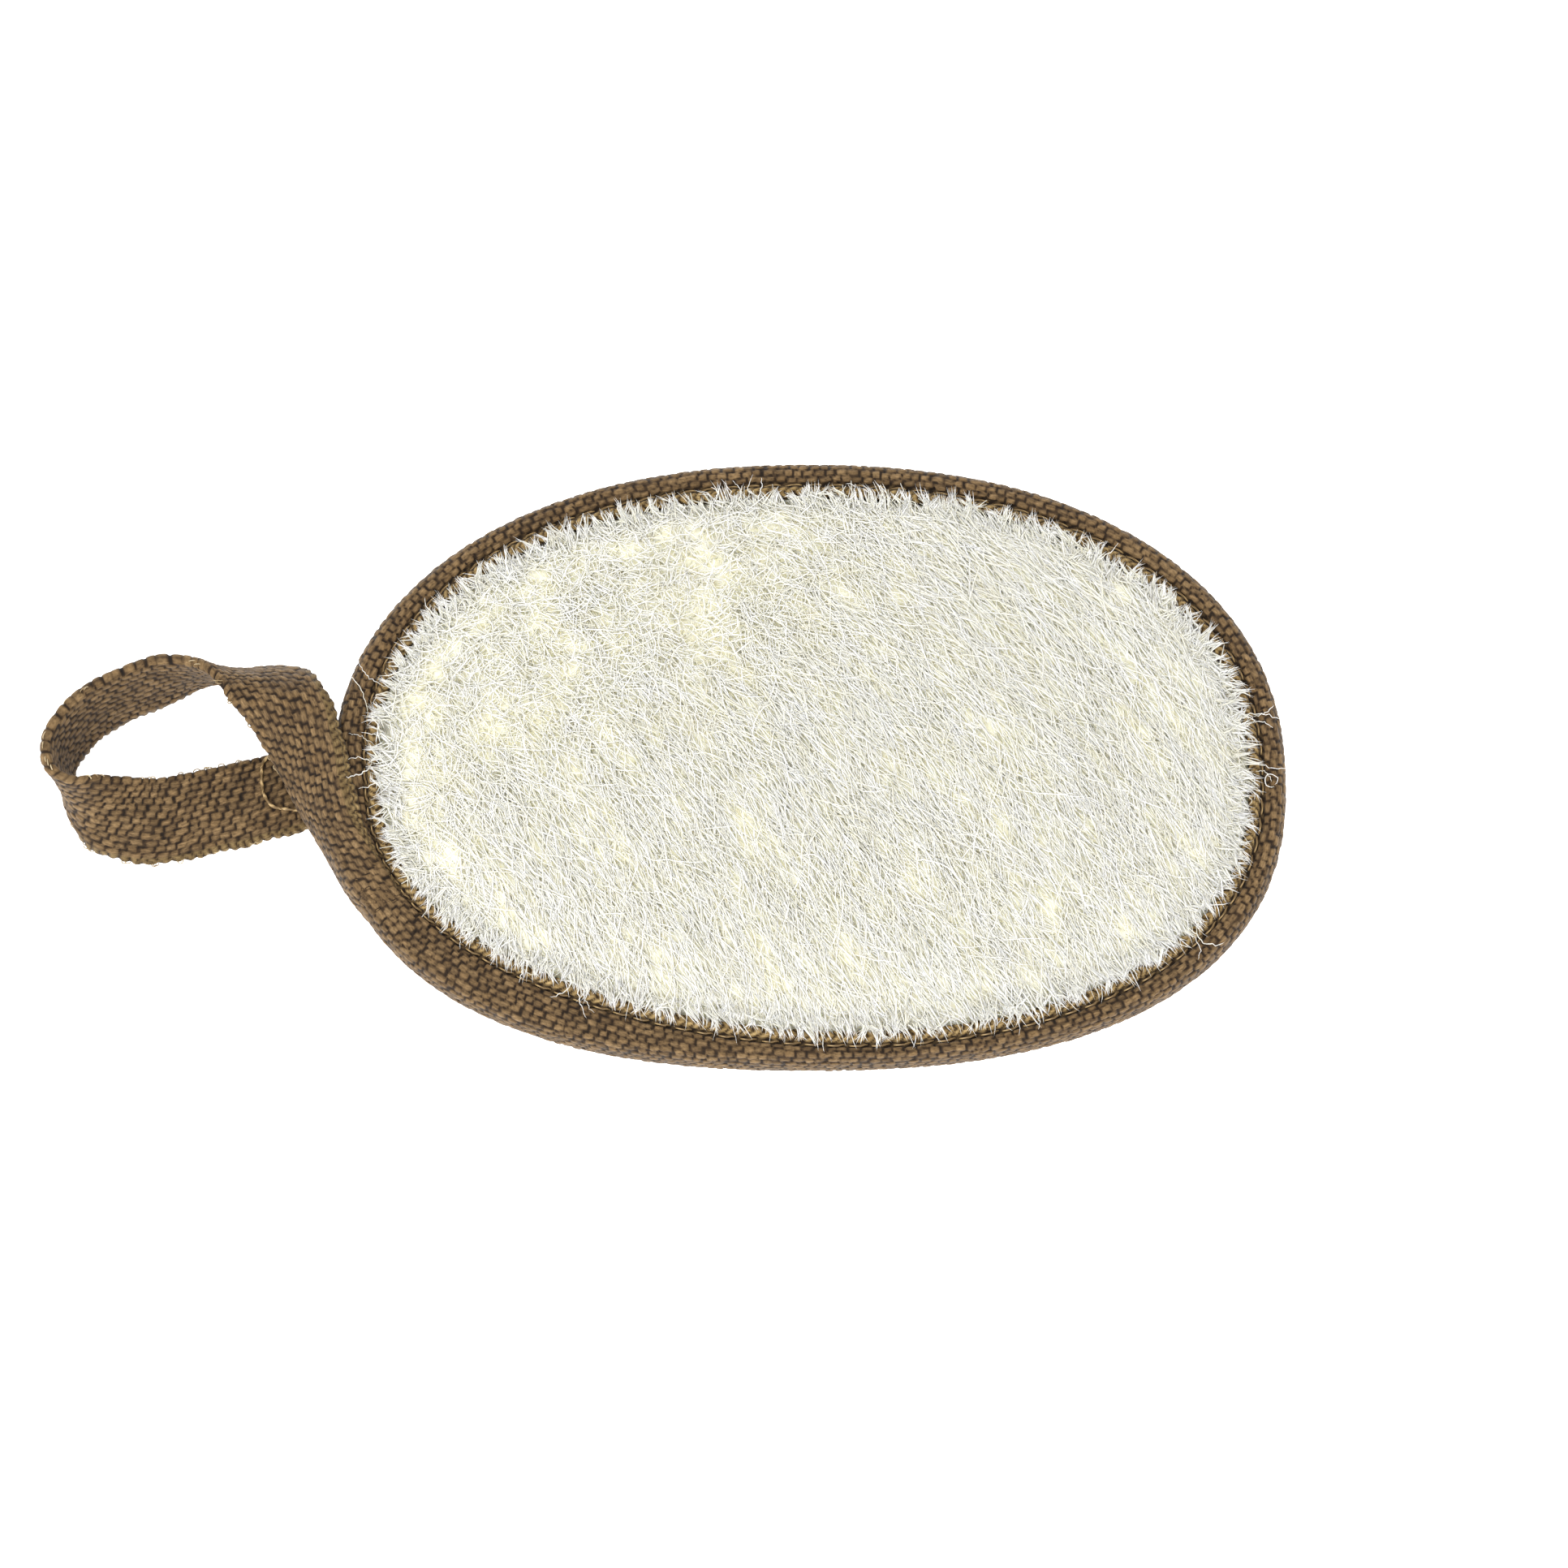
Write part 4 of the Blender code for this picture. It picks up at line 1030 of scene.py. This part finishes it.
# Sewing thread: two spun plies twisted together, smoother than the tape and a shade
# lighter, with a faint silky gleam where the plies turn.
sewing_thread, tree, shader = new_finish("spun_sewing_thread", {"Roughness": 0.5, "IOR": 1.5})
ply = stored(tree, "ply")
slant = node(tree, "ShaderNodeMath", {0: ply["Y"], 1: ply["Z"]}, operation="ADD")
plies = node(tree, "ShaderNodeMath", {0: slant.outputs["Value"]}, operation="SINE")
tint = ramp(tree, plies.outputs["Value"], (0.0, "6B5431"), (1.0, "AD9162"))
tree.links.new(tint, shader.inputs["Base Color"])
dent = node(tree, "ShaderNodeBump", {"Height": plies.outputs["Value"]}, {
    "Strength": 0.5, "Distance": 0.0001})
tree.links.new(dent.outputs["Normal"], shader.inputs["Normal"])

stitch_count = round(rim_length / STITCH_STEP)
t = np.linspace(0, 1, 6)
bar_s = (np.arange(stitch_count)[:, None] + STITCH_SHOWS * t[None, :]) * rim_length / stitch_count
bar_row = np.round(bar_s / rim_length * rim_stations).astype(int) % rim_stations
groove_p = (GROOVE_FROM + BAND_FROM) / 2 + STITCH_SLANT * (1 - 2 * t)
groove_p = np.tile(groove_p, (stitch_count, 1))
groove_column = np.round(groove_p / sample).astype(int)
bed = smooth_rim[bar_row, groove_column]
bed_up = rim_up[bar_row, groove_column]
bars = bed + bed_up * (STITCH_BED + STITCH_HUMP * np.sin(math.pi * t))[None, :, None]
taper = STITCH_RADIUS * (0.7 + 0.3 * np.sin(math.pi * t))
add_tubes("seam_stitches_front", bars, taper, STITCH_SIDES, sewing_thread,
          "seam_thread_top")
under = bars.copy()
under[:, :, 2] = 2 * RIM_PLANE - under[:, :, 2]
add_tubes("seam_stitches_back", under, taper, STITCH_SIDES, sewing_thread,
          "seam_thread_under")


# Tack thread
# One loose end of the same thread left where the loop was tacked: it lies in a bend
# across the lower run, just before that goes under the rim.
TACK_ROUTE = ((-72.6, 2.3, 4.5), (-74.1, 2.2, 4.6), (-75.0, 1.3, 4.6), (-75.2, -1.0, 4.55),
              (-74.8, -3.4, 4.6), (-73.5, -5.1, 4.75), (-71.6, -5.5, 4.8), (-70.0, -5.6, 4.7))
TACK_POINTS = 70
TACK_RADIUS = 0.2

tack, _ = smooth_route(TACK_ROUTE, TACK_POINTS)
add_tubes("tack_thread", tack[None], np.full(TACK_POINTS, TACK_RADIUS), 8, sewing_thread,
          "loop_tack_thread", lobes=0.2, twist=0.35)


# Weft loops
# The tape's fine weft turns back at its edges in small loops of thread. Where the loop's
# edges are stretched, some of them stand clear.
WEFT_LOOPS = 74
WEFT_REACH = 0.42
WEFT_HALVES = (0.28, 0.5)
WEFT_THREAD = 0.075
WEFT_SUNK = 0.1
ON_OPEN_SHARE = 0.45
FIRST_ROW = 60
LAST_ROW = int(LOOP_STATIONS * 0.86)
OPEN_EDGE_CLEAR = 200
OPEN_EDGE_SHIFT = 250

# Fine weft thread: undyed linen, paler and smoother than the warp, so it catches light.
weft_thread, tree, shader = new_finish("fine_weft_thread", {"Roughness": 0.55, "IOR": 1.5})
tint = ramp(tree, stored(tree, "ply")["X"], (0.0, "7C6541"), (1.0, "B7A582"))
tree.links.new(tint, shader.inputs["Base Color"])

rng = np.random.default_rng(61)
edge_row = np.sort(rng.integers(FIRST_ROW, LAST_ROW, WEFT_LOOPS))
on_open = rng.random(WEFT_LOOPS) < ON_OPEN_SHARE
edge_row = edge_row + (on_open & (edge_row < OPEN_EDGE_CLEAR)) * OPEN_EDGE_SHIFT
turn = np.linspace(0, math.pi, 9)
edge_way = ribbon[edge_row, np.argmax(section_a)] - ribbon[edge_row, np.argmin(section_a)]
edge_way /= np.linalg.norm(edge_way, axis=1)[:, None] * np.where(on_open, 1.0, -1.0)[:, None]
base = ribbon[edge_row, np.where(on_open, np.argmax(section_a), np.argmin(section_a))]
base = base - edge_way * WEFT_SUNK
reach_out = WEFT_REACH * rng.uniform(0.6, 1.25, WEFT_LOOPS)
half_wide = rng.uniform(*WEFT_HALVES, WEFT_LOOPS)
arcs = base[:, None] + ahead[edge_row][:, None] * (half_wide[:, None] * np.cos(turn))[:, :, None]
arcs = arcs + edge_way[:, None] * (reach_out[:, None] * np.sin(turn))[:, :, None]
arcs = arcs + through[edge_row][:, None] * rng.uniform(-0.3, 0.3, WEFT_LOOPS)[:, None, None]
add_tubes("weft_loops", arcs, np.full(len(turn), WEFT_THREAD), 4, weft_thread,
          "hanging_loop")
